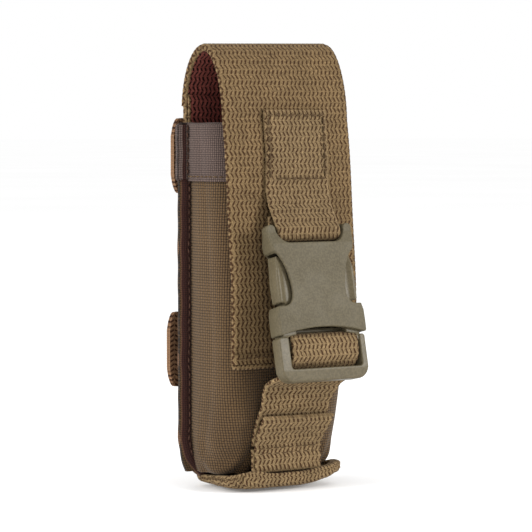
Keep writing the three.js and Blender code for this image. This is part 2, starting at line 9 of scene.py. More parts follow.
import bmesh
import bpy
import numpy as np
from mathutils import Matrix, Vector


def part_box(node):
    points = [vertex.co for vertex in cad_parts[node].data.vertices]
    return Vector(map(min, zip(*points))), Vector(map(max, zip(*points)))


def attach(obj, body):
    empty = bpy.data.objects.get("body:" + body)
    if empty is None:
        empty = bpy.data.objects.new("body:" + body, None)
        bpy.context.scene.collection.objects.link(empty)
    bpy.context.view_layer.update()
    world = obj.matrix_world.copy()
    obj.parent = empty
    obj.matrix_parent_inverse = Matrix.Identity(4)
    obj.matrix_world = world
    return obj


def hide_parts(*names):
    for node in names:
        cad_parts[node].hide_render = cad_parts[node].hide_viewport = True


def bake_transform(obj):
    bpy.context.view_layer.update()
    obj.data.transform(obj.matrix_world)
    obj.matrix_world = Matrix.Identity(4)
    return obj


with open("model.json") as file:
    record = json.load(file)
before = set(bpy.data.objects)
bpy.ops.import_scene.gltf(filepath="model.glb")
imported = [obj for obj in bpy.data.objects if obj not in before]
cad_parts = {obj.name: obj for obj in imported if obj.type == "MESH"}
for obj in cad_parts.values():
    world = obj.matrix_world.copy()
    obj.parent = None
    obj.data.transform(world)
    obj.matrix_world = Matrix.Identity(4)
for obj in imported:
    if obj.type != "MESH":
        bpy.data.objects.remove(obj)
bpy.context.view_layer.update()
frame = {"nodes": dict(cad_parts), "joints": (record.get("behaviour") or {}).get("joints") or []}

FLOOR_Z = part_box("base_webbing")[0].z
BACK_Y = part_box("back_webbing")[1].y + 0.0001
SHIFT = np.array((0, BACK_Y, FLOOR_Z))
JOINTS = {joint["name"]: joint for joint in frame["joints"]}
RANDOM = np.random.default_rng(7)
FORWARD, REARWARD = (0.0, -1.0, 0.0), (0.0, 1.0, 0.0)


def place(points):
    """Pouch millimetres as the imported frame's metres."""
    return np.asarray(points, float) / 1000 + SHIFT


def span(node):
    """The lowest and highest corner of a CAD node, in pouch millimetres."""
    return tuple((np.array(corner) - SHIFT) * 1000 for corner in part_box(node))


def pivot(name):
    """A joint's (y, z), in pouch millimetres."""
    return ((np.array(JOINTS[name]["pos_m"]) - SHIFT) * 1000)[1:]


# ---------------- dimensions, in millimetres
COLUMN = 1.65  # spacing of the webbing's yarn columns
ROW = 1.8  # length over which a column leans one way before it turns back
LEAN = 0.55  # how far it leans, in columns
RELIEF = 0.16  # height of the weave's relief on thick webbing
SCALLOP = 0.16  # how far the edge loops stand out
STEP = 0.5  # distance between a strap's sections
FACES_PER_COLUMN = 6
STITCH_PITCH = 2.9

WIDE, WIDE_THICK = 50.0, 2.4
NARROW, NARROW_THICK = 25.0, 1.6
MOUTH_Z = span("body_shell")[1][2]
HEM_Z = span("mouth_hem_tape")[0][2]
FLAP_BOTTOM = span("flap_hem")[0][2]
HINGE_Z = pivot("flap_hinge")[1]
CREST_Y, CREST_Z = pivot("flap_unroll")
SPRING_Z = 122.0  # where the arch meets the flap's straight legs
ARCH_HALF_DEPTH = 13.5

BUCKLE_AXIS = -np.array(JOINTS["buckle_release"]["axis"])[1:]
TILT = math.atan2(BUCKLE_AXIS[0], BUCKLE_AXIS[1])
FEMALE_BAR = 34.2  # height of the female half's bar over its mouth
MALE_BAR = -2.5
BUCKLE_MOUTH = pivot("female_pivot") - FEMALE_BAR * BUCKLE_AXIS
BUCKLE_HALF = span("buckle_female")[1][0]


# ---------------- curves
def share(value, start, end):
    """How far a value has come from start to end, from 0 to 1."""
    return np.clip((value - start) / (end - start), 0, 1)


def hump(value, centre, width):
    """A smooth hump, 1 high at its centre."""
    return np.exp(-(((value - centre) / width) ** 2))


def unit(vectors):
    return vectors / np.linalg.norm(vectors, axis=-1, keepdims=True)


def distances(line):
    """The distance along a polyline, at each of its points."""
    return np.r_[0, np.cumsum(np.linalg.norm(np.diff(line, axis=0), axis=1))]


def resampled(line, count):
    """The same polyline with a number of points at even steps."""
    length = distances(line)
    at = np.linspace(0, length[-1], count)
    return np.stack([np.interp(at, length, line[:, k]) for k in range(line.shape[1])], axis=1)


def even_line(line, step):
    return resampled(line, max(2, round(distances(line)[-1] / step) + 1))


def smooth_line(points, step):
    """An even polyline through control points of any dimension, by Catmull-Rom curves."""
    p = np.asarray(points, float)
    p = np.vstack([2 * p[0] - p[1], p, 2 * p[-1] - p[-2]])
    dense = []
    for a, b, c, d in zip(p, p[1:], p[2:], p[3:]):
        for t in np.linspace(0, 1, 24, endpoint=False):
            curve = (2 * a - 5 * b + 4 * c - d) * t**2 + (3 * b - a - 3 * c + d) * t**3
            dense.append(0.5 * (2 * b + (c - a) * t + curve))
    dense.append(p[-2])
    return even_line(np.array(dense), step)


def arc(centre, radius, start, end, count=16):
    """Points round an arc, with angles in degrees."""
    angles = np.radians(np.linspace(start, end, count))
    return np.array(centre) + radius * np.stack([np.cos(angles), np.sin(angles)], axis=1)


def upright(line):
    """Sections of a strap that lies across x, from its (y, z) line: centres, across and outward directions.
    Outward is to the right of travel: forwards where the strap runs down."""
    along = unit(np.gradient(line, axis=0))
    zero = np.zeros(len(line))
    centres = np.stack([zero, line[:, 0], line[:, 1]], axis=1)
    across = np.tile((1.0, 0.0, 0.0), (len(line), 1))
    outward = np.stack([zero, along[:, 1], -along[:, 0]], axis=1)
    return centres, across, outward


def low_noise(points, size, seed):
    """Smooth noise from a few sine waves, about -1 to 1."""
    random = np.random.default_rng(seed)
    total = np.zeros(len(points))
    for _ in range(5):
        direction = random.normal(size=3)
        direction /= np.linalg.norm(direction) * size * random.uniform(0.7, 1.6)
        total += np.sin(2 * math.pi * points @ direction + random.uniform(0, 2 * math.pi))
    return total / 3


# ---------------- meshes
def linked(name, data):
    """A new object with this data, in the scene."""
    made = bpy.data.objects.new(name, data)
    bpy.context.scene.collection.objects.link(made)
    return made


def turn_faces_out(mesh):
    work = bmesh.new()
    work.from_mesh(mesh)
    bmesh.ops.recalc_face_normals(work, faces=work.faces)
    work.to_mesh(mesh)
    work.free()


def new_piece(name, points, faces, material, uv=None, sharp=45):
    mesh = bpy.data.meshes.new(name)
    mesh.from_pydata(place(points).tolist(), [], faces)
    if uv is not None:
        layer = mesh.uv_layers.new(name="weave")
        index = np.zeros(len(mesh.loops), np.int32)
        mesh.loops.foreach_get("vertex_index", index)
        layer.data.foreach_set("uv", np.asarray(uv, np.float32)[index].ravel())
    turn_faces_out(mesh)
    mesh.shade_smooth()
    mesh.set_sharp_from_angle(angle=math.radians(sharp))
    mesh.materials.append(material)
    return linked(name, mesh)


def tube_faces(stations, ring):
    faces = []
    for s in range(stations - 1):
        for k in range(ring):
            n = (k + 1) % ring
            a, b = s * ring, (s + 1) * ring
            faces.append((a + k, a + n, b + n, b + k))
    faces.append(tuple(range(ring)))
    faces.append(tuple((stations - 1) * ring + k for k in range(ring)))
    return faces


def weave_wave(u, v):
    """Height of the webbing's swaying columns, -1 to 1, at u across and v along."""
    sway = np.abs((v / ROW) % 2 - 1)
    knot = np.abs((v / ROW) % 1 * 2 - 1) ** 2
    return np.cos(2 * math.pi * (u / COLUMN + LEAN * sway)) * (1 - 0.45 * knot)


def strap(name, sections, width, thick, material, dent=None, v_start=0.0, relief=RELIEF, inner=None):
    """A woven strap along its sections, with a relief of columns on both faces and scalloped edges.
    width is one number or one per section. dent(u, v) is how far the outer face sinks. inner is
    the inner face's material, where it isn't the outer one's."""
    centres, across, outward = sections
    count = len(centres)
    v = distances(centres) + v_start
    width = np.broadcast_to(np.asarray(width, float), (count,))
    flat = width.max() / 2 - thick / 2
    columns = max(2, round(2 * flat / (COLUMN / FACES_PER_COLUMN)))
    face = np.linspace(-flat, flat, columns + 1)
    turn = np.linspace(0, math.pi, 6)[1:-1]
    bulge = thick / 2 * np.sin(turn)
    turned = flat + thick / 2 * np.minimum(turn, math.pi - turn)
    ring_a = np.r_[face, flat + bulge, face[::-1], -flat - bulge]
    ring_u = np.r_[face, turned, face[::-1], -turned]
    ones = np.ones_like(face)
    ring_h = thick / 2 * np.r_[ones, np.cos(turn), -ones, -np.cos(turn)]
    on_face = np.r_[ones, 0 * turn, ones, 0 * turn]
    u, vv = np.meshgrid(ring_u, v)
    scale = (width / width.max())[:, None]
    height = np.sign(ring_h) * on_face * relief * weave_wave(u, vv) + ring_h
    scallop = SCALLOP * np.abs(np.cos(math.pi * vv / ROW)) * np.sign(ring_a) * (1 - on_face)
    if dent is not None:
        height -= dent(u, vv) * on_face * (ring_h > 0)
    a = (ring_a + scallop) * scale
    points = centres[:, None, :] + a[..., None] * across[:, None, :] + height[..., None] * outward[:, None, :]
    uv = np.stack([u * scale, vv], axis=-1).reshape(-1, 2)
    piece = new_piece(name, points.reshape(-1, 3), tube_faces(count, len(ring_a)), material, uv)
    if inner is not None:
        on_inner_face = np.maximum(ring_h, np.roll(ring_h, -1)) < -0.49 * thick
        second_material(piece, inner, count, on_inner_face)
    return piece


def second_material(piece, material, stations, chosen):
    """Gives the chosen sides of a swept piece another material."""
    piece.data.materials.append(material)
    sides = np.zeros(len(piece.data.polygons), np.int32)
    sides[: (stations - 1) * len(chosen)] = np.tile(chosen, stations - 1)
    piece.data.polygons.foreach_set("material_index", sides)


def grid_normals(grid):
    normal = np.cross(np.gradient(grid, axis=0), np.gradient(grid, axis=1))
    return normal / np.maximum(np.linalg.norm(normal, axis=-1), 1e-9)[..., None]


def cloth(name, grid, thick, material, uv, sign=1):
    """A sheet of fabric from a grid of its outer face, thickened inwards and closed at its rims."""
    rows, columns, _ = grid.shape
    inner = grid - sign * thick * grid_normals(grid)
    points = np.vstack([grid.reshape(-1, 3), inner.reshape(-1, 3)])
    size = rows * columns
    faces = []
    for r in range(rows - 1):
        for c in range(columns - 1):
            a = r * columns + c
            quad = (a, a + 1, a + columns + 1, a + columns)
            faces.append(quad)
            faces.append(tuple(k + size for k in reversed(quad)))
    top, bottom = range(columns), range((rows - 1) * columns, size)
    left, right = range(0, size, columns), range(columns - 1, size, columns)
    for rim in (top, bottom, left, right):
        for a, b in zip(rim, rim[1:]):
            faces.append((a, b, b + size, a + size))
    flat_uv = uv.reshape(-1, 2)
    return new_piece(name, points, faces, material, np.vstack([flat_uv, flat_uv]))


def grid_uv(grid):
    """Distances along a grid's two directions, as its weave's coordinates."""
    across = np.linalg.norm(np.diff(grid, axis=1), axis=-1)
    u = np.concatenate([np.zeros((len(grid), 1)), np.cumsum(across, axis=1)], axis=1)
    down = np.linalg.norm(np.diff(grid, axis=0), axis=-1)
    v = np.concatenate([np.zeros((1, grid.shape[1])), np.cumsum(down, axis=0)], axis=0)
    return np.stack([u, np.broadcast_to(v.mean(axis=1)[:, None], v.shape)], axis=-1)


def sweep(name, centres, first, second, section, material):
    """A closed section of (a, b) points swept along centres, with a along first and b along second."""
    section = np.asarray(section, float)
    a, b = section[None, :, 0, None], section[None, :, 1, None]
    points = centres[:, None, :] + a * first[:, None, :] + b * second[:, None, :]
    uv = np.stack(np.meshgrid(distances(section), distances(centres)), axis=-1).reshape(-1, 2)
    return new_piece(name, points.reshape(-1, 3), tube_faces(len(centres), len(section)), material, uv)


def stitches(name, line, normals, material, body, pitch=STITCH_PITCH, radius=0.3, covered=0.78):
    """A row of thread stitches along a line on a surface, each one a short bead that dives in at its ends.
    normals is one direction or one per point. covered is a stitch's part of the pitch."""
    normals = np.broadcast_to(np.asarray(normals, float), line.shape)
    length = distances(line)

    def at_distance(values, at):
        return np.array([np.interp(at, length, values[:, k]) for k in range(3)])

    points, faces = [], []
    ring, rings, near = 8, 7, 0.1
    for n in range(max(1, int(length[-1] // pitch))):
        middle = (n + 0.5) * pitch
        base = len(points)
        turn = RANDOM.uniform(-0.06, 0.06)
        for t in np.linspace(-1, 1, rings):
            at = middle + t * pitch * covered / 2
            centre, up = at_distance(line, at), unit(at_distance(normals, at))
            along = unit(at_distance(line, at + near) - at_distance(line, at - near))
            side = np.cross(along, up)
            centre = centre + up * radius * (0.75 - 1.3 * t * t) + side * turn * t * pitch
            thin = radius * math.sqrt(max(0.08, 1 - 0.75 * t * t))
            for k in range(ring):
                angle = 2 * math.pi * k / ring
                points.append(centre + thin * (math.cos(angle) * side + math.sin(angle) * up))
        faces += [tuple(i + base for i in face) for face in tube_faces(rings, ring)]
    uv = np.asarray(points)[:, [0, 2]]
    finished(new_piece(name, points, faces, material, uv), body)


def dressed(replaces):
    if replaces:
        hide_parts(*replaces)


def finished(piece, body, replaces=()):
    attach(piece, body)
    dressed(replaces)


def flexed(piece, replaces=()):
    """A piece baked into the imported frame's coordinates, with the CAD nodes it replaces hidden."""
    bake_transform(piece)
    dressed(replaces)


# ---------------- materials
class Shader:
    """A material and short calls that build its nodes."""

    def __init__(self, name):
        self.material = bpy.data.materials.new(name)
        self.material.use_nodes = True
        self.tree = self.material.node_tree
        self.surface = self.tree.nodes["Principled BSDF"]

    def node(self, kind, inputs=None, **settings):
        node = self.tree.nodes.new(kind)
        for key, value in settings.items():
            setattr(node, key, value)
        for key, value in (inputs or {}).items():
            self.put(node.inputs[key], value)
        return node

    def put(self, socket, value):
        if isinstance(value, bpy.types.NodeSocket):
            self.tree.links.new(value, socket)
        else:
            socket.default_value = value

    def math(self, operation, a, b=0.0, c=0.0):
        return self.node("ShaderNodeMath", {0: a, 1: b, 2: c}, operation=operation).outputs[0]

    def scaled(self, vector, scale):
        return self.node("ShaderNodeVectorMath", {0: vector, 1: scale}, operation="MULTIPLY").outputs[0]

    def noise(self, vector, scale, detail=2.0):
        inputs = {"Vector": vector, "Scale": scale, "Detail": detail}
        return self.node("ShaderNodeTexNoise", inputs).outputs["Fac"]

    def ramp(self, value, low, high, to_low=0.0, to_high=1.0):
        inputs = {"Value": value, "From Min": low, "From Max": high, "To Min": to_low, "To Max": to_high}
        return self.node("ShaderNodeMapRange", inputs).outputs["Result"]

    def mix(self, part, a, b, blend="MIX"):
        node = self.node("ShaderNodeMix", data_type="RGBA", blend_type=blend)
        for socket, value in ((0, part), (6, a), (7, b)):
            self.put(node.inputs[socket], value if not isinstance(value, tuple) else (*value, 1.0))
        return node.outputs[2]

    def grey(self, tone):
        return self.node("ShaderNodeCombineColor", {0: tone, 1: tone, 2: tone}).outputs[0]

    def patched(self, colour, uv, scale, darkest, lightest):
        """A colour with slow lighter and darker patches, as worn cloth has."""
        tone = self.ramp(self.noise(uv, scale, 3.0), 0.3, 0.7, darkest, lightest)
        return self.mix(1.0, colour, self.grey(tone), "MULTIPLY")

    def object_place(self):
        return self.node("ShaderNodeTexCoord").outputs["Object"]

    def weave_uv(self):
        uv = self.node("ShaderNodeUVMap", uv_map="weave").outputs["UV"]
        parts = self.node("ShaderNodeSeparateXYZ", {0: uv}).outputs
        return uv, parts[0], parts[1]

    def finish(self, colour, height, distance, strength, roughness, sheen=0.0, specular=0.3):
        bump = self.node("ShaderNodeBump", {"Height": height, "Distance": distance, "Strength": strength})
        self.put(self.surface.inputs["Normal"], bump.outputs[0])
        self.put(self.surface.inputs["Base Color"], colour)
        self.put(self.surface.inputs["Roughness"], roughness)
        self.surface.inputs["Sheen Weight"].default_value = sheen
        self.surface.inputs["Sheen Roughness"].default_value = 0.5
        self.surface.inputs["Specular IOR Level"].default_value = specular
        return self.material


def webbing_material(name, light, dark):
    """Nylon webbing: columns of yarn that sway left and right, with slanted gaps between them painted dark as
    shade, and painted highlights on the raised fibres and knots.
    """
    s = Shader(name)
    uv, u, v = s.weave_uv()
    wobble = s.math("SUBTRACT", s.noise(uv, 0.45), 0.5)
    rows = s.math("DIVIDE", s.math("ADD", v, 40 * ROW), ROW)
    sway = s.math("PINGPONG", rows, 1.0)
    column = s.math("MULTIPLY_ADD", sway, -LEAN, s.math("DIVIDE", u, COLUMN))
    column = s.math("MULTIPLY_ADD", wobble, 0.35, column)
    wave = s.math("MULTIPLY_ADD", s.math("COSINE", s.math("MULTIPLY", column, 2 * math.pi)), 0.5, 0.5)
    knot = s.math("ABSOLUTE", s.math("MULTIPLY_ADD", s.math("FRACT", rows), 2.0, -1.0))
    knot = s.math("POWER", knot, 2.2)
    raised = s.math("POWER", wave, 0.5)
    filled = s.math("MAXIMUM", raised, s.math("MULTIPLY", knot, 0.85))
    strand = {0: s.math("MULTIPLY", column, 5.5), 1: s.math("MULTIPLY", v, 1.3), 2: 0.0}
    fibre = s.noise(s.node("ShaderNodeCombineXYZ", strand).outputs[0], 1.0, 3.0)
    uneven = s.noise(s.scaled(uv, (0.35, 0.6, 1.0)), 1.0, 3.0)
    depth = s.math("MULTIPLY_ADD", uneven, 0.75, filled)
    # Lighter fibre streaks and lighter knots: painted highlights on the raised yarn.
    yarn = s.mix(s.ramp(fibre, 0.44, 0.64, 0.0, 0.8), light, tuple(2.3 * c for c in light))
    yarn = s.mix(s.math("MULTIPLY", knot, 0.22), yarn, tuple(1.6 * c for c in light))
    # The gaps between the columns take the dark colour: painted shade in the recesses.
    colour = s.mix(s.ramp(depth, 0.72, 1.2), dark, yarn)
    colour = s.patched(colour, uv, 0.09, 0.88, 1.1)
    height = s.math("MULTIPLY_ADD", fibre, 0.35, filled)
    roughness = s.ramp(wave, 0.0, 1.0, 0.95, 0.75)
    return s.finish(colour, height, 0.0003, 0.7, roughness, sheen=0.02, specular=0.1)


def plain_weave_material(name, light, dark, cell, depth, roughness=0.8, sheen=0.1):
    """A plain weave: yarns that pass over and under each other in a checker, with painted shade where they
    dip under.
    """
    s = Shader(name)
    uv, u, v = s.weave_uv()
    wobble = s.math("SUBTRACT", s.noise(uv, 0.5), 0.5)
    across = s.math("MULTIPLY_ADD", wobble, 0.5, s.math("DIVIDE", s.math("ADD", u, 400 * cell), cell))
    along = s.math("MULTIPLY_ADD", wobble, 0.4, s.math("DIVIDE", s.math("ADD", v, 400 * cell), cell))
    cells = s.math("ADD", s.math("FLOOR", across), s.math("FLOOR", along))
    odd = s.math("MODULO", cells, 2.0)
    humps = []
    for value in (across, along):
        humps.append(s.math("SINE", s.math("MULTIPLY", s.math("FRACT", value), math.pi)))
    warp = s.math("MULTIPLY", s.math("POWER", humps[0], 0.6), s.math("MULTIPLY_ADD", humps[1], 0.6, 0.4))
    weft = s.math("MULTIPLY", s.math("POWER", humps[1], 0.6), s.math("MULTIPLY_ADD", humps[0], 0.6, 0.25))
    height = s.node("ShaderNodeMix", {0: odd, 2: warp, 3: weft}).outputs[0]
    fibre = s.noise(s.scaled(uv, (6.0, 6.0, 1.0)), 1.0, 3.0)
    # Low parts of the weave take the dark colour: painted shade in the dips.
    colour = s.mix(s.ramp(height, 0.1, 0.75), dark, light)
    colour = s.patched(colour, uv, 0.07, 0.9, 1.08)
    bumps = s.math("MULTIPLY_ADD", fibre, 0.3, height)
    return s.finish(colour, bumps, depth, 0.7, roughness, sheen=sheen, specular=0.15)


def plastic_material(name, face, hollow, gloss=0.5):
    """Moulded acetal with a fine spark-eroded grain."""
    s = Shader(name)
    place_of = s.object_place()
    grain = s.noise(place_of, 1500.0, 2.0)
    cloud = s.noise(place_of, 120.0, 3.0)
    colour = s.mix(s.ramp(cloud, 0.3, 0.7), hollow, face)
    colour = s.mix(s.ramp(grain, 0.4, 0.62, 0.0, 0.55), colour, tuple(1.45 * c for c in face))
    roughness = s.ramp(cloud, 0.3, 0.7, gloss + 0.05, gloss - 0.04)
    return s.finish(colour, grain, 0.00006, 0.6, roughness, specular=0.15)


def metal_material(name, colour):
    """Dark lacquered brass with fine scratches."""
    s = Shader(name)
    place_of = s.object_place()
    scratches = s.noise(s.scaled(place_of, (1.0, 8.0, 1.0)), 900.0, 4.0)
    mixed = s.mix(s.ramp(scratches, 0.55, 0.75, 0.0, 0.6), colour, tuple(2.2 * c for c in colour))
    s.surface.inputs["Metallic"].default_value = 0.7
    return s.finish(mixed, scratches, 0.00002, 0.4, s.ramp(scratches, 0.3, 0.7, 0.3, 0.45), specular=0.5)


def thread_material(name, light, dark):
    """Bonded nylon thread with a tight twist, its twist's grooves painted dark as shade."""
    s = Shader(name)
    place_of = s.object_place()
    twist = s.node("ShaderNodeTexWave", {"Vector": place_of, "Scale": 900.0, "Distortion": 0.4})
    colour = s.mix(twist.outputs["Fac"], dark, light)
    return s.finish(colour, twist.outputs["Fac"], 0.00005, 0.5, 0.7, specular=0.12)


def floor_material():
    s = Shader("studio_floor")
    place_of = s.object_place()
    tone = s.ramp(s.noise(place_of, 2.0), 0.3, 0.7, 0.86, 0.88)
    s.put(s.surface.inputs["Base Color"], s.grey(tone))
    s.surface.inputs["Roughness"].default_value = 0.9
    s.surface.inputs["Specular IOR Level"].default_value = 0.0
    s.surface.inputs["Emission Color"].default_value = (1.0, 1.0, 1.0, 1.0)
    s.surface.inputs["Emission Strength"].default_value = 0.12
    return s.material


WEBBING = webbing_material("khaki_webbing", (0.123, 0.081, 0.0385), (0.042, 0.02, 0.0085))
# Near-black maroon webbing: painted shade, the khaki webbing as it looks in shadow, for the lining's front
# and the flap's inner faces.
SHADE_PAINTED_WEBBING = webbing_material("lining_webbing_painted_shade", (0.15, 0.042, 0.033), (0.003, 0.0007, 0.0007))
CORDURA = plain_weave_material("coyote_nylon", (0.12, 0.071, 0.031), (0.003, 0.001, 0.0005), 0.92, 0.0003)
HEM_TAPE = plain_weave_material("mouth_tape", (0.116, 0.08, 0.067), (0.01, 0.006, 0.005), 0.75, 0.0003,
                                roughness=0.75, sheen=0.06)
BINDING = plain_weave_material("edge_tape", (0.135, 0.07, 0.034), (0.03, 0.01, 0.005), 0.7, 0.0002)
# Dark tape colour for the faces in the seam groove: painted shade, as the groove lies deep behind the
# pocket's wall.
GROOVE_PAINTED_SHADE = plain_weave_material("seam_groove_painted_shade", (0.038, 0.011, 0.007), (0.008, 0.002, 0.002), 0.7, 0.0002)
STRAP_WEBBING = webbing_material("strap_webbing", (0.135, 0.092, 0.046), (0.042, 0.021, 0.0095))
# Lighter copy of the khaki webbing: painted light for the base, the adjuster strap and its turned-up end,
# which the key light reaches less.
WEBBING_PAINTED_LIGHT = webbing_material("webbing_painted_light", (0.155, 0.106, 0.053), (0.046, 0.022, 0.01))
BAND = webbing_material("band_webbing", (0.13, 0.072, 0.038), (0.03, 0.012, 0.006))
PLASTIC = plastic_material("buckle_acetal", (0.086, 0.0715, 0.0425), (0.0785, 0.0645, 0.0378))
# Lighter copy of the buckle acetal: painted light for the prongs and the male half, whose bar catches the
# light. Its lower roughness is the plastic's own.
PLASTIC_PAINTED_LIGHT = plastic_material("acetal_painted_light", (0.094, 0.077, 0.0455), (0.085, 0.069, 0.04), 0.36)
SNAP = metal_material("snap_lacquer", (0.075, 0.06, 0.045))
THREAD = thread_material("thread", (0.13, 0.084, 0.04), (0.035, 0.017, 0.009))
# Darker thread for the stitches in the seam groove: painted shade of the groove.
GROOVE_THREAD_PAINTED_SHADE = thread_material("groove_thread_painted_shade", (0.08, 0.04, 0.026), (0.02, 0.008, 0.005))


# ---------------- pocket
FRONT_PROFILE = [(3.6, 19.6), (12, 22.8), (24, 26.6), (40, 28.9), (60, 28.2), (82, 26.4), (100, 24.4)]
SHELL_LINE = smooth_line([*FRONT_PROFILE, (121.5, 22.4)], 0.5)  # height, depth of the front
SHELL_HALF, SHELL_TUCK, TUCK_HEIGHT = 24.7, 3.2, 20  # half the width, and how the bottom narrows
SHELL_REAR = -4.95
SHELL_CORNER = 8.5
SHELL_BELLY = 0.7  # how far the sides bulge
SEAM_BEND = 1.2  # radius where the shell turns out onto the side flange
CORNER_X, CORNER_Z, CORNER_RADIUS = 12.9, 15.9, 13.2  # the seam's turn at the pocket's lower corners
EDGE_Y = -4.1  # middle of the side seams


def wall_line(z, grow=0.0, flange=2.6, count=150):
    """One level of the pocket's wall from the -X flange round the front to the +X one, as (x, y)."""
    half = SHELL_HALF - SHELL_TUCK * share(z, TUCK_HEIGHT, 0) ** 2 + grow
    front = -(np.interp(z, SHELL_LINE[:, 0], SHELL_LINE[:, 1]) + grow)
    radius = SHELL_CORNER + grow
    rear, bend = SHELL_REAR - 0.15 * grow, SEAM_BEND
    side = np.linspace(rear - bend, front + radius, 12)[1:-1]
    belly = SHELL_BELLY * np.sin(math.pi * (side - side[0]) / (side[-1] - side[0]))
    left = np.vstack([
        [(-(half + bend + flange), rear)],
        arc((-half - bend, rear - bend), bend, 90, 0, 6),
        np.stack([-half - belly, side], axis=1),
        arc((-half + radius, front + radius), radius, 180, 270, 12),
    ])
    return resampled(np.vstack([left, (left * (-1, 1))[::-1]]), count)


def wall_grid(levels, grow=0.0, flange=2.6, count=150):
    """A grid of the pocket's wall. levels is a list of (height, extra growth)."""
    rows = []
    for z, extra in levels:
        line = wall_line(z, grow + extra, flange, count)
        rows.append(np.column_stack([line, np.full(len(line), z)]))
    return np.array(rows)


def pocket_shell():
    """The coated nylon round the front and the sides, a little slack, and puckered near the bottom."""
    heights = np.linspace(4.2, MOUTH_Z - 0.6, 140)
    grid = wall_grid([(z, -1.3 * share(z, 9, 3) ** 2) for z in heights], count=170)
    # The lower corner at +X is pushed out to meet the base's rim.
    grid[..., 0] += 1.6 * hump(grid[..., 2], 7.5, 4.5) * share(grid[..., 0], 0, 20) ** 2
    normals = grid_normals(grid)
    flat = grid.reshape(-1, 3)
    x, y, z = flat.T
    sag = low_noise(flat, 46, 3) * 0.35 + low_noise(flat, 17, 5) * 0.12
    low = share(z, 20, 4)
    pucker = low * 0.4 * np.sin(x * 1.1 + y * 0.9 + low * 2)
    away_from_seam = share(-y, 6.5, 11.5)
    grid = grid + ((sag + pucker) * away_from_seam).reshape(grid.shape[:2])[..., None] * -normals
    piece = cloth("pocket_shell", grid, 1.1, CORDURA, grid_uv(grid), sign=-1)
    finished(piece, "pocket", ["body_shell"])


def mouth_tape():
    """The tape folded over the pocket's mouth, down the outside and the inside, and its seam."""
    outer = [(z, 1.15 + 0.1 * math.sin(z)) for z in np.linspace(HEM_Z, MOUTH_Z - 0.4, 22)]
    turn = np.linspace(0.2, math.pi - 0.2, 8)
    top = [(MOUTH_Z + 0.5 * math.sin(a), 0.95 * math.cos(a) - 0.2) for a in turn]
    inner = [(z, -1.5) for z in np.linspace(MOUTH_Z - 0.4, MOUTH_Z - 12, 14)]
    grid = wall_grid(outer + top + inner, flange=2.2)
    ripple = 0.12 * low_noise(grid.reshape(-1, 3), 14, 11)
    grid = grid + ripple.reshape(grid.shape[:2])[..., None] * grid_normals(grid)
    piece = cloth("mouth_tape", grid, 0.7, HEM_TAPE, grid_uv(grid), sign=-1)
    finished(piece, "pocket", ["mouth_hem_tape"])
    seam_z = HEM_Z + 1.6
    line = wall_line(seam_z, 1.25, 0.5)
    seam = np.column_stack([line, np.full(len(line), seam_z)])
    along = np.gradient(line, axis=0)
    normals = np.column_stack([along[:, 1], -along[:, 0], np.zeros(len(line))])
    stitches("mouth_tape_stitches", seam, normals, THREAD, "pocket", pitch=2.0, radius=0.22)


def edge_line(side):
    """The side seam's edge, down the side and round the lower corner: points and outward directions."""
    down = np.linspace(MOUTH_Z - 0.2, CORNER_Z, 150)
    straight = np.column_stack([np.full(150, -CORNER_X - CORNER_RADIUS), down])
    out_straight = np.tile((-1.0, 0.0), (150, 1))
    out_turn = arc((0, 0), 1, 180, 180 + 76, 48)[1:]
    turn = np.array((-CORNER_X, CORNER_Z)) + CORNER_RADIUS * out_turn
    line, out = np.vstack([straight, turn]), np.vstack([out_straight, out_turn])
    mirror = np.array((-side, 1.0))
    return line * mirror, out * mirror


def edge_binding(side, name, node):
    """The tape round one side seam, with a stitched groove in front whose faces are painted dark as shade,
    and the mouth tape's end over it.
    """
    line, out = edge_line(side)
    zero, steps = np.zeros(len(line)), np.arange(len(line))
    centres = np.column_stack([line[:, 0], zero + EDGE_Y, line[:, 1]])
    outward = np.column_stack([out[:, 0], zero, out[:, 1]])
    rear = np.tile(REARWARD, (len(line), 1))
    wave = 0.18 * np.sin(steps * 0.35) + 0.12 * np.sin(steps * 0.13)
    centres = centres + wave[:, None] * outward * 0.6
    front_leg = [(-1.9, -1.7), (-1.0, -2.0), (0.4, -2.05)]
    rear_leg = [(0.4, 1.9), (-1.0, 1.8), (-1.9, 1.5)]
    section = [*front_leg, *arc((0.35, 0.0), 1.95, -78, 78, 9), *rear_leg]
    piece = sweep(name, centres, outward, rear, section, BINDING)
    # The faces in the groove get the dark painted shade.
    groove_shade_faces = np.array([a < 1.5 and b < 0 for a, b in section])
    second_material(piece, GROOVE_PAINTED_SHADE, len(centres), groove_shade_faces)
    finished(piece, "pocket", [node])
    seam = centres - rear * 2.1 - outward * 0.5
    # The groove's stitches take the darker painted-shade thread.
    stitches(name + "_stitches", seam[25:-4], FORWARD, GROOVE_THREAD_PAINTED_SHADE, "pocket", pitch=2.6)
    taped = int(np.sum(line[:, 1] > HEM_Z))
    grown = [(1.16 * a + 0.25, 1.2 * b) for a, b in section]
    cover = sweep(name + "_tape_end", centres[:taped], outward[:taped], rear[:taped], grown, HEM_TAPE)
    # The tape end's groove faces get the same painted shade.
    groove_shade_faces = np.array([-0.6 < a < 1.0 and b < 0 for a, b in section])
    second_material(cover, GROOVE_PAINTED_SHADE, taped, groove_shade_faces)
    finished(cover, "pocket")
    seam = centres[:taped] - rear[:taped] * 2.5 + outward[:taped] * 0.2
    stitches(name + "_tape_stitches", seam, FORWARD, GROOVE_THREAD_PAINTED_SHADE, "pocket", pitch=2.4)


BACK_CORNER = 11.3  # height over which the back sheet's lower corners are rounded


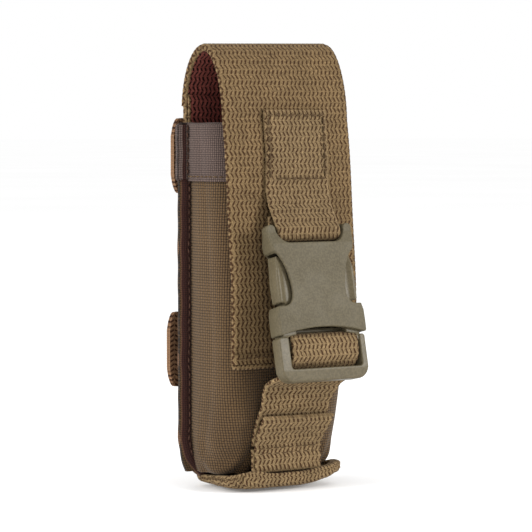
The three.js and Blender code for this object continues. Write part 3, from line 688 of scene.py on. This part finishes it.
def back_sheet():
    lo, hi = span("back_panel")
    xs = np.linspace(lo[0] - 0.6, hi[0] + 0.6, 60)
    zs = np.linspace(hi[2], lo[2], 110)
    x, z = np.meshgrid(xs, zs)
    corner = share(z, CORNER_Z, CORNER_Z - BACK_CORNER)
    x = x * (1 - 0.45 * (1 - np.sqrt(1 - corner**2)))
    grid = np.stack([x, np.full_like(x, lo[1] + 0.1), z], axis=-1)
    piece = cloth("back_sheet", grid, 1.3, CORDURA, grid_uv(grid), sign=1)
    finished(piece, "pocket", ["back_panel"])


def lining():
    """The webbing behind the pocket, its front face painted maroon as shade, and a second layer inside the
    arch.
    """
    lo, hi = span("back_webbing")
    behind = even_line(np.array([(-1.3, hi[2]), (-1.3, lo[2])]), STEP)
    width = hi[0] - lo[0] + 0.4 * (behind[:, 1] > 100)
    layer = smooth_line([(-2.9, 129.2), (-3.2, 127.0), (-3.3, 120), (-3.3, 112)], STEP)
    for name, line, lean, size, thick, replaces in (
        ("lining_webbing_painted_shade", behind, 0.0, width, WIDE_THICK, ["back_webbing"]),
        ("lining_second_layer", layer, -0.045, 47.6, 1.1, []),
    ):
        centres, across, outward = upright(line)
        across[:, 2] = lean
        # The front face takes the maroon painted-shade webbing.
        piece = strap(name, (centres, across, -outward), size, thick, WEBBING, inner=SHADE_PAINTED_WEBBING)
        finished(piece, "pocket", replaces)


# The base's outline from above. Its front corner at +X stands out, as in the photo.
BASE_PLAN = [(0, -0.3), (-12, -0.3), (-18, -0.7), (-20, -2.6), (-20.6, -8), (-21.6, -16), (-21.9, -21.5),
             (-19.6, -26.2), (-13, -28.4), (0, -28.8), (11, -28.4), (18.6, -27.0), (22.7, -23.0), (22.4, -16),
             (21.0, -8), (20, -2.6), (18, -0.7), (12, -0.3)]
BASE_MIDDLE = (0, -14)
BASE_ROUND = 2.4  # radius between the base's floor and its rim


def base_tray():
    """The webbing under the bottom: up the back, under, and turned up as a rim at the sides and the front."""
    plan = np.array(BASE_PLAN, float)
    loop = smooth_line(np.vstack([plan, plan, plan]), 0.45)
    count = len(loop) // 3
    loop = loop[count: 2 * count]
    along = unit(np.roll(loop, -1, axis=0) - np.roll(loop, 1, axis=0))
    out = np.column_stack([along[:, 1], -along[:, 0]])
    out *= np.sign(np.sum(out * (loop - BASE_MIDDLE), axis=1))[:, None]
    x, y = loop.T
    # The rim is low at the sides, higher in front, and goes furthest up at the back.
    side_height = 2.6 + 1.6 * share(-y, 4, 24)
    front_height = 4.6 + 1.3 * hump(x, -14, 4.0) - 0.7 * share(x, 10, 19)
    in_front = share(-y, 23, 27)
    height = side_height * (1 - in_front) + front_height * in_front
    height = np.where(y > -1.5, 8.2, height)
    # Its front stands out as a lip, and its corner at +X is lifted.
    lip = 1.3 * share(x, -17.8, -17.1) * share(-y, 22, 25)
    lift = 2.6 * share(x, 4, 20) ** 1.6 * share(-y, 0, 22)
    crinkle = 0.16 * np.sin(x * 0.9 + y * 0.7) * share(-y, 0, 6)

    def ring(inset, z, scale=1.0):
        """The outline moved in by inset and up to z, and scaled about the base's middle."""
        pushed = (lip + crinkle)[:, None] * out * (inset < 1.8)
        flat = (loop + pushed - inset * out - BASE_MIDDLE) * scale + BASE_MIDDLE
        return np.column_stack([flat, z + lift])

    quarter, half = np.linspace(0, math.pi / 2, 7), np.linspace(0.4, math.pi, 7)
    scales = (0.02, 0.25, 0.5, 0.75, 0.92)
    floor_under = [ring(BASE_ROUND, 0 * x, scale) for scale in scales]
    outer_side = [ring(BASE_ROUND * (1 - math.sin(t)), BASE_ROUND * (1 - math.cos(t))) for t in quarter]
    wall = [ring(0.12 * math.sin(3 * t), 2.4 + (height - 2.9) * t) for t in np.linspace(0.15, 1, 8)]
    top = [ring(1.1 - 1.1 * math.cos(t), height - 0.5 + 0.75 * math.sin(t)) for t in half]
    inside = [ring(2.2, height - 0.5 + (3.0 - height) * t) for t in np.linspace(0.2, 1, 5)]
    floor_over = [ring(2.3, 0 * x + 2.4, scale) for scale in reversed(scales)]
    grid = np.array([*floor_under, *outer_side, *wall, *top, *inside, *floor_over])
    rings, size, _ = grid.shape
    flat_rings = len(scales)
    climb = np.r_[np.zeros(flat_rings), np.cumsum(np.full(rings - flat_rings, 0.45))]
    uv = grid[..., :2] + climb[:, None, None] * out
    relief = weave_wave(uv[..., 0], uv[..., 1]) * RELIEF
    outside = slice(flat_rings, flat_rings + len(outer_side) + len(wall))
    grid[outside, :, :2] += relief[outside, :, None] * out
    faces = tube_faces(rings, size)
    # The tray takes the lighter painted-light webbing.
    piece = new_piece("base_tray", grid.reshape(-1, 3), faces, WEBBING_PAINTED_LIGHT, uv.reshape(-1, 2))
    finished(piece, "pocket", ["base_webbing"])
    sides = (y < -3) & (np.abs(x) > 17)
    for sign, tag in ((-1, "right"), (1, "left")):
        chosen = np.where(sides & (x * sign > 0))[0]
        seam = np.column_stack([loop + 0.02 * out, height + lift - 1.1])[chosen]
        normals = np.column_stack([out, 0 * x])[chosen]
        stitches(f"base_rim_stitches_{tag}", seam, normals, THREAD, "pocket", pitch=2.4, radius=0.24)


BAND_THICK = 0.95
BAND_LAYERS = ((0.9, "front"), (1.95, "rear"))  # each layer's middle
BAND_SEAMS = (20.5, 22.5)  # distances of the two seams from the pouch's middle


def band(name, node, inset):
    """One 25 mm band across the back: two layers of thin webbing, sewn together near their sealed ends."""
    lo, hi = span(node)
    middle, end = (lo[2] + hi[2]) / 2, hi[0] - inset
    for y, tag in BAND_LAYERS:
        line = even_line(np.array([(-end, y), (end, y)]), STEP)
        line[:, 1] += 0.05 * np.sin(line[:, 0] * 0.5 + 2 * y)
        count = len(line)
        centres = np.column_stack([line, np.full(count, middle)])
        across = np.tile((0.0, 0.0, 1.0), (count, 1))
        outward = np.tile(REARWARD, (count, 1))
        near_end = share(np.abs(line[:, 0]), end - 2.6, end)
        width = (hi[2] - lo[2]) * np.sqrt(1 - 0.72 * near_end**2.4)
        piece = strap(f"{name}_{tag}", (centres, across, outward), width, BAND_THICK, BAND, relief=0.06)
        finished(piece, "pocket", [node])
    for side, tag in ((-1, "right"), (1, "left")):
        for offset in BAND_SEAMS:
            zs = np.linspace(lo[2] + 2, hi[2] - 2, 60)
            seam = np.column_stack([np.full(60, side * offset), np.full(60, 2.42), zs])
            stitches(f"{name}_stitches_{tag}_{offset:.0f}", seam, REARWARD, THREAD, "pocket")


REAR_STRAP_THICK = 1.8
SEWN_LOW = 90  # lower edge of its sewn box


def rear_strap():
    """The snap strap behind, from its sewn end below the upper band to its tip."""
    lo, hi = span("attachment_strap")
    top = span("attachment_strap_anchor")[1][2]
    band_top = span("back_band_lower")[1][2]
    sewn, laid = 1.15, hi[1] - REAR_STRAP_THICK / 2
    knots = [(sewn, top), (sewn, 88), (sewn + 0.3, 82), (laid - 0.3, band_top + 8), (laid, band_top + 2)]
    line = smooth_line(knots + [(laid, 40), (laid, lo[2])], STEP)
    width = np.full(len(line), NARROW)
    width[-6:] -= np.linspace(0, 1.8, 6)
    centres, across, outward = upright(line)
    piece = strap("snap_strap", (centres, across, -outward), width, REAR_STRAP_THICK, WEBBING)
    flexed(piece,
           ["attachment_strap", "attachment_strap_anchor"])
    edge, high, low = 10.5, top - 1.2, SEWN_LOW
    corners = [(-edge, high), (edge, high), (edge, low), (-edge, low), (-edge, high), (edge, low)]
    outline = even_line(np.array([(x, sewn + 0.95, z) for x, z in corners]), 0.4)  # just over its face
    stitches("snap_strap_stitches", outline, REARWARD, THREAD, "pocket")


def snap_cap():
    """The domed cap of the snap, with a rolled rim and a shallow ring."""
    lo, hi = span("snap_cap")
    radius, face = (hi[0] - lo[0]) / 2, lo[1]
    z = (lo[2] + hi[2]) / 2
    profile = [(0.0, 1.25), (1.6, 1.22), (3.2, 1.12), (4.0, 0.98), (4.35, 0.86), (4.7, 0.92), (5.3, 0.9)]
    profile += [(r + radius - 0.6, 0.4 + h) for r, h in arc((0, 0), 0.55, 60, -80, 8)]
    profile += [(radius - 1.4, 0.05), (0.0, 0.0)]
    sides = 72
    points = []
    for r, h in profile:
        for k in range(sides):
            angle = 2 * math.pi * k / sides
            points.append((max(r, 0.01) * math.cos(angle), face + h, z + max(r, 0.01) * math.sin(angle)))
    piece = new_piece("snap_cap_dome", points, tube_faces(len(profile), sides), SNAP, sharp=60)
    finished(piece, "snap_strap", ["snap_cap"])


# ---------------- flap
FLAP_FRONT_Y = span("flap_tip")[0][1]
HEM_DEPTH = 3.6  # height of the folded hem, from the groove over it to the webbing's end


def flap_front_y(z):
    """Outer face of the flap's front leg at a height."""
    top = CREST_Y - ARCH_HALF_DEPTH
    return FLAP_FRONT_Y + (top - FLAP_FRONT_Y) * share(z, FLAP_BOTTOM, SPRING_Z) ** 2


def flap_line():
    """Middle of the flap's webbing from its foot, over the arch and down to the hem, as (y, z)."""
    half, rise = ARCH_HALF_DEPTH, CREST_Z - SPRING_Z
    foot = math.asin((HINGE_Z - 0.3 - SPRING_Z) / rise)
    angles = np.linspace(foot, math.pi, 60)
    outer = np.column_stack([CREST_Y + half * np.cos(angles), SPRING_Z + rise * np.sin(angles)])
    down = np.linspace(SPRING_Z - 4, FLAP_BOTTOM + 1.4, 60)
    leg = np.column_stack([flap_front_y(down), down])
    outer = even_line(np.vstack([outer, leg]), STEP)
    along = unit(np.gradient(outer, axis=0))
    inward = np.column_stack([-along[:, 1], along[:, 0]])
    return outer + inward * WIDE_THICK / 2


def flap_pieces():
    """The flap in two halves that meet where the arch begins, its folded hem and the hem's seam."""
    line = flap_line()
    centres, across, outward = upright(line)
    v = distances(line)
    # The crest droops a little towards -X, and the legs waver.
    across[:, 2] += 0.9 * hump(line[:, 1], CREST_Z, 9) / WIDE
    centres += outward * (0.22 * np.sin(v / v[-1] * 17))[:, None]
    split = int(np.argmax(line[:, 1] > HINGE_Z + 7.5))
    hem_top = v[-1] - HEM_DEPTH

    def hem(u, w):
        return 0.5 * hump(w, hem_top, 0.55) - 0.35 * (w > hem_top + 0.6)

    sections = [values[: split + 1] for values in (centres, across, outward)]
    # The flap's inner faces take the maroon painted-shade webbing.
    rear = strap("flap_rear_half", sections, WIDE, WIDE_THICK, WEBBING, inner=SHADE_PAINTED_WEBBING)
    flexed(rear, ["flap_arch"])
    sections = [values[split:] for values in (centres, across, outward)]
    front = strap("flap_front_half", sections, WIDE, WIDE_THICK, WEBBING, hem, v[split], inner=SHADE_PAINTED_WEBBING)
    flexed(front,
           ["flap_front", "flap_tip", "flap_hem"])
    turn = even_line(arc((0, 0), 1.2, 0, -180, 12), 0.3)
    fold = smooth_line(np.vstack([
        [(flap_front_y(FLAP_BOTTOM + 9) + 3.4, FLAP_BOTTOM + 9)],
        [(flap_front_y(FLAP_BOTTOM + 2) + 3.5, FLAP_BOTTOM + 2.2)],
        turn + (flap_front_y(FLAP_BOTTOM) + 2.3, FLAP_BOTTOM + 1.3),
    ]), STEP)
    piece = strap("flap_hem_fold", upright(fold), WIDE - 2.4, 1.5, WEBBING, relief=0.04)
    finished(piece, "flap_front")
    xs = np.linspace(-23.5, 23.5, 120)
    z = FLAP_BOTTOM + 3.4 + 0.25 * np.sin(xs * 0.3)
    seam = np.column_stack([xs, flap_front_y(z) - 0.05, z])
    stitches("flap_hem_stitches", seam, (0.0, -1.0, 0.1), THREAD, "flap_front")


# ---------------- closure strap
STRAP_TOP = span("upper_strap")[1][2] + 1.4
STRAP_SHIFT = 2.2  # the strap is sewn on a little to the +X side of the flap's middle line
STRAP_STAND = 0.35 + NARROW_THICK / 2
FREE_Z = 99  # below this height the strap hangs free of the flap
BOX_LOW = 102.6  # lower edge of its sewn box


def on_buckle(points):
    """Buckle-local (y, z) or (x, y, z) as pouch coordinates."""
    points = np.asarray(points, float)
    y, z = points[..., -2], points[..., -1]
    out_y = BUCKLE_MOUTH[0] + y * math.cos(TILT) + z * math.sin(TILT)
    out_z = BUCKLE_MOUTH[1] - y * math.sin(TILT) + z * math.cos(TILT)
    if points.shape[-1] == 2:
        return np.stack([out_y, out_z], axis=-1)
    return np.stack([points[..., 0], out_y, out_z], axis=-1)


def strap_shift(z):
    return STRAP_SHIFT * share(z, 82, 112)


def closure_strap():
    """The strap sewn to the flap, then down to the buckle, round its bar and back up behind."""
    down = np.linspace(STRAP_TOP, FREE_Z, 20)
    sewn = np.column_stack([flap_front_y(down) - STRAP_STAND + 0.2, down])
    radius = 1.5 + NARROW_THICK / 2 + 0.05
    turn = on_buckle(arc((0, FEMALE_BAR), radius, 168, 352, 16))
    tail = on_buckle([(radius + 0.2, FEMALE_BAR + 2.5), (radius + 0.2, FEMALE_BAR + 6)])
    line = even_line(np.vstack([sewn, [(flap_front_y(94) - 2.6, 94)], turn, tail]), STEP)
    sections = upright(line)
    sections[0][:, 0] += strap_shift(line[:, 1])
    box_top, edge = STRAP_TOP - 1.7, 11.0
    row_top, row_low = STRAP_TOP - box_top, STRAP_TOP - BOX_LOW

    def quilting(u, v):
        rows = hump(v, row_top, 0.6) + hump(v, row_low, 0.6)
        sides = hump(np.abs(u), edge, 0.6) * (v < row_low)
        return 0.32 * np.minimum(rows + sides, 1)

    piece = strap("closure_strap", sections, NARROW, NARROW_THICK, STRAP_WEBBING, dent=quilting)
    flexed(piece,
           ["upper_strap", "upper_strap_loop"])

    def on_strap(x, z):
        return (x + strap_shift(z), flap_front_y(z) - 2 * STRAP_STAND + 0.55, z)

    box = [(-edge, BOX_LOW), (-edge, box_top), (edge, box_top), (edge, BOX_LOW), (-edge, BOX_LOW)]
    outline = even_line(np.array([on_strap(x, z) for x, z in box]), 0.4)
    stitches("closure_strap_stitches", outline, (0.0, -1.0, 0.06), THREAD, "flap_front")


# ---------------- buckle
def outline_solid(outline, front, rear):
    """A prism from an (x, z) outline, from y = front to y = rear, as a temporary object in millimetres."""
    mesh = bpy.data.meshes.new("prism")
    count = len(outline)
    points = [(x, front, z) for x, z in outline] + [(x, rear, z) for x, z in outline]
    faces = [tuple(range(count)), tuple(range(2 * count - 1, count - 1, -1))]
    faces += [(k, k + count, (k + 1) % count + count, (k + 1) % count) for k in range(count)]
    mesh.from_pydata(points, [], faces)
    turn_faces_out(mesh)
    return linked("prism", mesh)


def block(x0, x1, y0, y1, z0, z1):
    return outline_solid([(x0, z0), (x1, z0), (x1, z1), (x0, z1)], y0, y1)


def rod(radius, x0, x1, y, z, sides=32):
    """A round bar along x."""
    angles = np.linspace(0, 2 * math.pi, sides, endpoint=False)
    made = outline_solid([(radius * math.cos(a), radius * math.sin(a)) for a in angles], x0, x1)
    points = np.array([v.co for v in made.data.vertices])
    turned = np.column_stack([points[:, 1], points[:, 0] + y, points[:, 2] + z])
    made.data.vertices.foreach_set("co", turned.astype(np.float32).ravel())
    return made


def moulded(name, base, cut=(), joined=(), voxel=0.28, soften=5, shape=None, material=None):
    """A moulded piece: prisms joined and cut, then remeshed and softened so that every edge is rounded."""
    for tools, operation in ((cut, "DIFFERENCE"), (joined, "UNION")):
        for tool in tools:
            modifier = base.modifiers.new("tool", "BOOLEAN")
            modifier.operation, modifier.object, modifier.solver = operation, tool, "EXACT"
    remesh = base.modifiers.new("remesh", "REMESH")
    remesh.mode, remesh.voxel_size = "VOXEL", voxel
    smooth = base.modifiers.new("soften", "SMOOTH")
    smooth.factor, smooth.iterations = 0.5, soften
    bpy.context.view_layer.update()
    mesh = bpy.data.meshes.new_from_object(base.evaluated_get(bpy.context.evaluated_depsgraph_get()))
    points = np.zeros(len(mesh.vertices) * 3)
    mesh.vertices.foreach_get("co", points)
    points = points.reshape(-1, 3)
    if shape is not None:
        points = shape(points)
    faces = [tuple(p.vertices) for p in mesh.polygons]
    for tool in (base, *cut, *joined):
        bpy.data.objects.remove(tool)
    return new_piece(name, on_buckle(points), faces, material, sharp=80)


def bezier(a, b, c, d, count=10):
    """Points on a cubic curve with the control points a to d."""
    t = np.linspace(0, 1, count)[:, None]
    a, b, c, d = (np.array(p, float) for p in (a, b, c, d))
    return (1 - t) ** 3 * a + 3 * (1 - t) ** 2 * t * b + 3 * (1 - t) * t**2 * c + t**3 * d


def mirrored_outline(right):
    """A closed outline from its right half, listed from the bottom middle to the top middle."""
    right = np.asarray(right, float)
    return np.vstack([right, (right * (-1, 1))[::-1]])


FEMALE_HALF_DEPTH, MALE_HALF_DEPTH = 4.5, 2.6  # half the thickness of each half
GRIP_LOW, GRIP_HIGH = 9.8, 27  # ends of a prong's thick grip


def female_half():
    """The socket, its side windows for the prongs, and its slot and bar for the closure strap."""
    w, deep = BUCKLE_HALF, FEMALE_HALF_DEPTH
    right = np.vstack([
        bezier((0.01, 2.2), (6, 2.2), (12, 1.3), (w - 0.4, 0.0), 12),
        [(w, 0.5)],
        bezier((w, 6.5), (w - 0.1, 9.5), (w - 2.0, 11), (w - 2.1, 16)),
        bezier((w - 2.1, 17), (w - 2.1, 23), (w - 1.5, 27), (w - 0.7, 31)),
        arc((w - 1.9, 34.9), 1.75, -10, 165, 10),
        bezier((13.4, 33.8), (12.2, 31.4), (11.0, 30.4), (8.6, 30.4), 8),
        [(0.01, 30.4)],
    ])
    body = outline_solid(mirrored_outline(right), -deep, deep)
    windows = []
    for side_sign in (1, -1):
        inner = np.vstack([
            [(20, 9.6), (20, 27.9), (15.8, 27.6)],
            bezier((15.2, 27.3), (13.0, 25.4), (11.0, 20), (10.7, 14.6), 14),
            bezier((10.7, 14.0), (10.8, 10.6), (12.6, 9.7), (14.4, 9.6), 8),
        ])
        windows.append(outline_solid(inner * (side_sign, 1), -8, 8))
    hollow = block(-14.8, 14.8, -3.6, 3.6, 6, 28)
    mouth = block(-15.7, 15.7, -3, 3, -3, 9)
    bar = rod(1.5, -15.5, 15.5, 0, FEMALE_BAR)

    def crown(points):
        x, y, z = points.T
        across = 1 - 0.13 * (np.abs(x) / w) ** 2.4
        ears = share(z, 30, 34)
        collar = 1 + 0.05 * hump(z, 3, 5)
        behind = share(y, -deep, deep) ** 2
        x = x * (1 - 0.085 * behind * (1 + 0.5 * ears))
        return np.column_stack([x, y * across * (1 - 0.22 * ears) * collar, z])

    piece = moulded("female_half", body, [*windows, hollow, mouth], [bar], shape=crown, material=PLASTIC)
    finished(piece, "buckle_female", ["buckle_female"])


WINDOW_SHIFT = 0.8  # the strap's window is a little to the +X side of the male half's middle


def male_half():
    """The frame with the ladder bar, a crossbar that the socket hides, and roots for the two prongs."""
    w, deep = BUCKLE_HALF, MALE_HALF_DEPTH
    top, bottom, inner, lower = -0.5, -15.2, 14.1, -11.0
    outline = mirrored_outline(np.vstack([
        [(0.01, bottom)],
        arc((w - 4.2, bottom + 4.2), 4.2, -90, 0, 10),
        [(w, top - 0.6), (w - 0.6, top), (inner + 0.4, top), (inner, top - 0.4)],
        arc((inner - 0.8, lower + 0.8), 0.8, 0, -90, 5),
        [(0.01, lower)],
    ]))
    in_window = (np.abs(outline[:, 0]) < inner + 0.6) & (outline[:, 1] > lower - 0.1)
    outline[in_window, 0] += WINDOW_SHIFT
    body = outline_solid(outline, -deep, deep)
    bar = rod(1.6, -14.6, 14.6, 0, MALE_BAR)
    crossbar = block(-14.6, 14.6, 0.9, 2.3, 0.9, 2.5)
    roots = [block(x, x + 1.5, -0.6, 2.1, -3, 2.2) for x in (-15.6, 14.1)]

    def crown(points):
        x, y, z = points.T
        lower_bar = share(z, -11.5, -15)
        behind = share(y, -deep, deep) ** 2
        return np.column_stack([x * (1 - 0.035 * behind), y * (1 - 0.16 * lower_bar), z])

    added = [bar, crossbar, *roots]
    # The male half takes the lighter painted-light acetal.
    piece = moulded("male_half", body, joined=added, shape=crown, material=PLASTIC_PAINTED_LIGHT)
    finished(piece, "buckle_male", ["buckle_male_frame"])


def prong(side, name, node):
    """One sprung prong, from its root in the male half to its ridged grip."""
    outline = np.vstack([
        [(9.9, 0.2), (13.0, -0.4), (14.2, -2.4), (15.6, -2.4)],
        [(15.3, 2.0), (13.4, 3.6), (13.4, 10.6), (15.0, 10.7)],
        bezier((15.5, 11.2), (15.9, 17), (15.6, 22), (14.4, 26.2), 14),
        [(12.7, 26.0)],
        bezier((12.3, 25.2), (10.6, 20), (9.9, 16), (9.9, 11), 12),
    ])
    body = outline_solid(outline * (side, 1), -2.5, 2.5)

    def grip(points):
        x, y, z = points.T
        thick = share(z, GRIP_LOW, GRIP_LOW + 1.2) * share(z, GRIP_HIGH, GRIP_HIGH - 5)
        ridge = hump(np.abs(x), 14.8, 1.3)
        front = np.where(y < 0, 1 + thick * (0.12 + 0.3 * ridge), 1 - 0.1 * thick)
        front *= 1 - 0.14 * share(z, 0, -1)
        return np.column_stack([x * (1 - 0.04 * (y > 0) * thick), y * front, z])

    # The prong takes the lighter painted-light acetal.
    piece = moulded(name, body, shape=grip, material=PLASTIC_PAINTED_LIGHT, voxel=0.24, soften=4)
    finished(piece, name, [node])


# ---------------- lower strap
SEAM_Z, FOLD_Z = 13.5, 6.6  # heights of the strap's seam on the pocket and of its fold below


def twist_at(z):
    """How far the strap's +X edge leans forwards of its other one, as a slope."""
    return 0.24 * hump(z, 34.5, 4.5) + 0.1 * hump(z, 22, 6)


def twisted(sections):
    """The same sections, turned about their line by the lean that twist_at gives."""
    centres, across, outward = sections
    along = np.cross(outward, across)
    across[:, 1] = -twist_at(centres[:, 2])
    across = unit(across)
    return centres, across, unit(np.cross(across, along))


def lower_line():
    """The strap from the ladder lock down to its seam, as (y, z)."""
    start = on_buckle([(4.4, MALE_BAR - 10.6)])[0]
    return [start, (-36.9, 34.6), (-32.0, 26.6), (-27.2, 18.6), (-25.2, SEAM_Z + 0.6)]


def adjuster_strap():
    """The strap from its seam up through the male half's window, over the ladder bar and down as a tail."""
    radius = 1.6 + NARROW_THICK / 2 + 0.05
    tail = on_buckle([(8.2, MALE_BAR - 5.4), (6.4, MALE_BAR - 3.6), (4.6, MALE_BAR - 1.6)])
    over = on_buckle(arc((0, MALE_BAR), radius, 25, 195, 12))
    window = [(-2.3, MALE_BAR - 3.2), (-1.4, MALE_BAR - 5.4), (1.1, MALE_BAR - 7.4), (3.9, MALE_BAR - 9.0)]
    line = smooth_line(np.vstack([tail, over, on_buckle(window), lower_line()]), STEP)
    centres, across, outward = twisted(upright(line))
    below = share(line[:, 1], 40, 35)
    centres[:, 0] += WINDOW_SHIFT * (1 - below)
    centres[:, 0] -= 0.9 * below * share(line[:, 1], 20, 30)
    sections = (centres, across, outward)
    # The strap takes the lighter painted-light webbing.
    piece = strap("adjuster_strap", sections, NARROW + 1.4, NARROW_THICK, WEBBING_PAINTED_LIGHT)
    flexed(piece,
           ["lower_strap", "ladder_loop"])


def turned_up_end():
    """The strap's end: down from the seam, folded at the bottom, and up the front to a free cut edge."""
    top = span("lower_strap_tab")[1][2] + 0.6
    rear = [(-25.0, SEAM_Z - 0.8), (-25.2, 9.6)]
    fold = arc((-26.2, FOLD_Z), 1.15, 0, -180, 7)
    front = [(-27.3, 9.4), (-27.2, SEAM_Z), (-29.0, 17.4), (-31.6, 20.8), (-33.6, top)]
    path = smooth_line([*rear, *fold, *front], STEP)
    centres, across, outward = twisted(upright(path))
    width = NARROW + 1.2 + 0.4 * share(path[:, 1], 5, 23)
    xs = np.linspace(-12.2, 12.2, 60)
    half_way = len(path) // 2

    def seam(u, v):
        return 0.3 * hump(np.interp(v, distances(path), path[:, 1]), SEAM_Z, 0.7)

    # The end takes the lighter painted-light webbing.
    piece = strap("turned_up_end", (centres, across, -outward), width, NARROW_THICK, WEBBING_PAINTED_LIGHT, dent=seam)
    flexed(piece,
           ["lower_strap_tab", "lower_strap_anchor"])
    for z, tag in ((SEAM_Z - 0.2, "upper"), (FOLD_Z + 2.6, "lower")):
        at = int(np.argmin(np.abs(path[half_way:, 1] - z))) + half_way
        row = centres[at] + xs[:, None] * across[at] - outward[at] * (NARROW_THICK / 2 - 0.1)
        stitches(f"turned_up_end_stitches_{tag}", row, -outward[at], THREAD, "pocket", radius=0.2)


# ---------------- studio
def camera():
    """The camera that was fitted to the photo."""
    data = bpy.data.cameras.new("camera")
    data.lens, data.sensor_width = 178.6, 36.0
    made = linked("camera", data)
    made.location = place((-501.9, -745.7, 118.5))
    made.rotation_euler = (math.radians(87.057), 0.0, math.radians(-34.457))
    bpy.context.scene.camera = made


def lamp(name, location, size, energy):
    """A round white lamp at a location in metres, aimed at the pouch's middle."""
    data = bpy.data.lights.new(name, "AREA")
    data.shape, data.size, data.energy = "DISK", size, energy
    made = linked(name, data)
    made.location = location
    aim = Vector(place((0, -20, 70))) - Vector(location)
    made.rotation_euler = aim.to_track_quat("-Z", "Y").to_euler()


def studio():
    scene = bpy.context.scene
    scene.view_settings.view_transform = "Standard"
    scene.world = bpy.data.worlds.new("studio")
    scene.world.use_nodes = True
    background = scene.world.node_tree.nodes["Background"]
    background.inputs["Color"].default_value = (1.0, 1.0, 1.0, 1.0)
    background.inputs["Strength"].default_value = 1.0
    lamp("key", (0.8, -1.15, 0.42), 0.45, 14.0)
    lamp("fill", (-1.25, 0.2, 0.35), 0.5, 13.0)
    size, gap = 30.0, 0.0012
    corners = [(-size, -size), (size, -size), (size, size), (-size, size)]
    mesh = bpy.data.meshes.new("studio_floor")
    mesh.from_pydata([(x, y, FLOOR_Z - gap) for x, y in corners], [], [(0, 1, 2, 3)])
    mesh.materials.append(floor_material())
    linked("studio_floor", mesh)


# ---------------- assembly
camera()
studio()
pocket_shell()
mouth_tape()
edge_binding(-1, "binding_right", "seam_binding_right")
edge_binding(1, "binding_left", "seam_binding_left")
back_sheet()
lining()
base_tray()
band("band_upper", "back_band_upper", 1.9)
band("band_lower", "back_band_lower", 0.2)
rear_strap()
snap_cap()
flap_pieces()
closure_strap()
female_half()
male_half()
prong(1, "prong_left", "buckle_prong_left")
prong(-1, "prong_right", "buckle_prong_right")
adjuster_strap()
turned_up_end()
for node in ("snap_post", "snap_socket"):
    for material_slot in frame["nodes"][node].material_slots:
        material_slot.material = SNAP
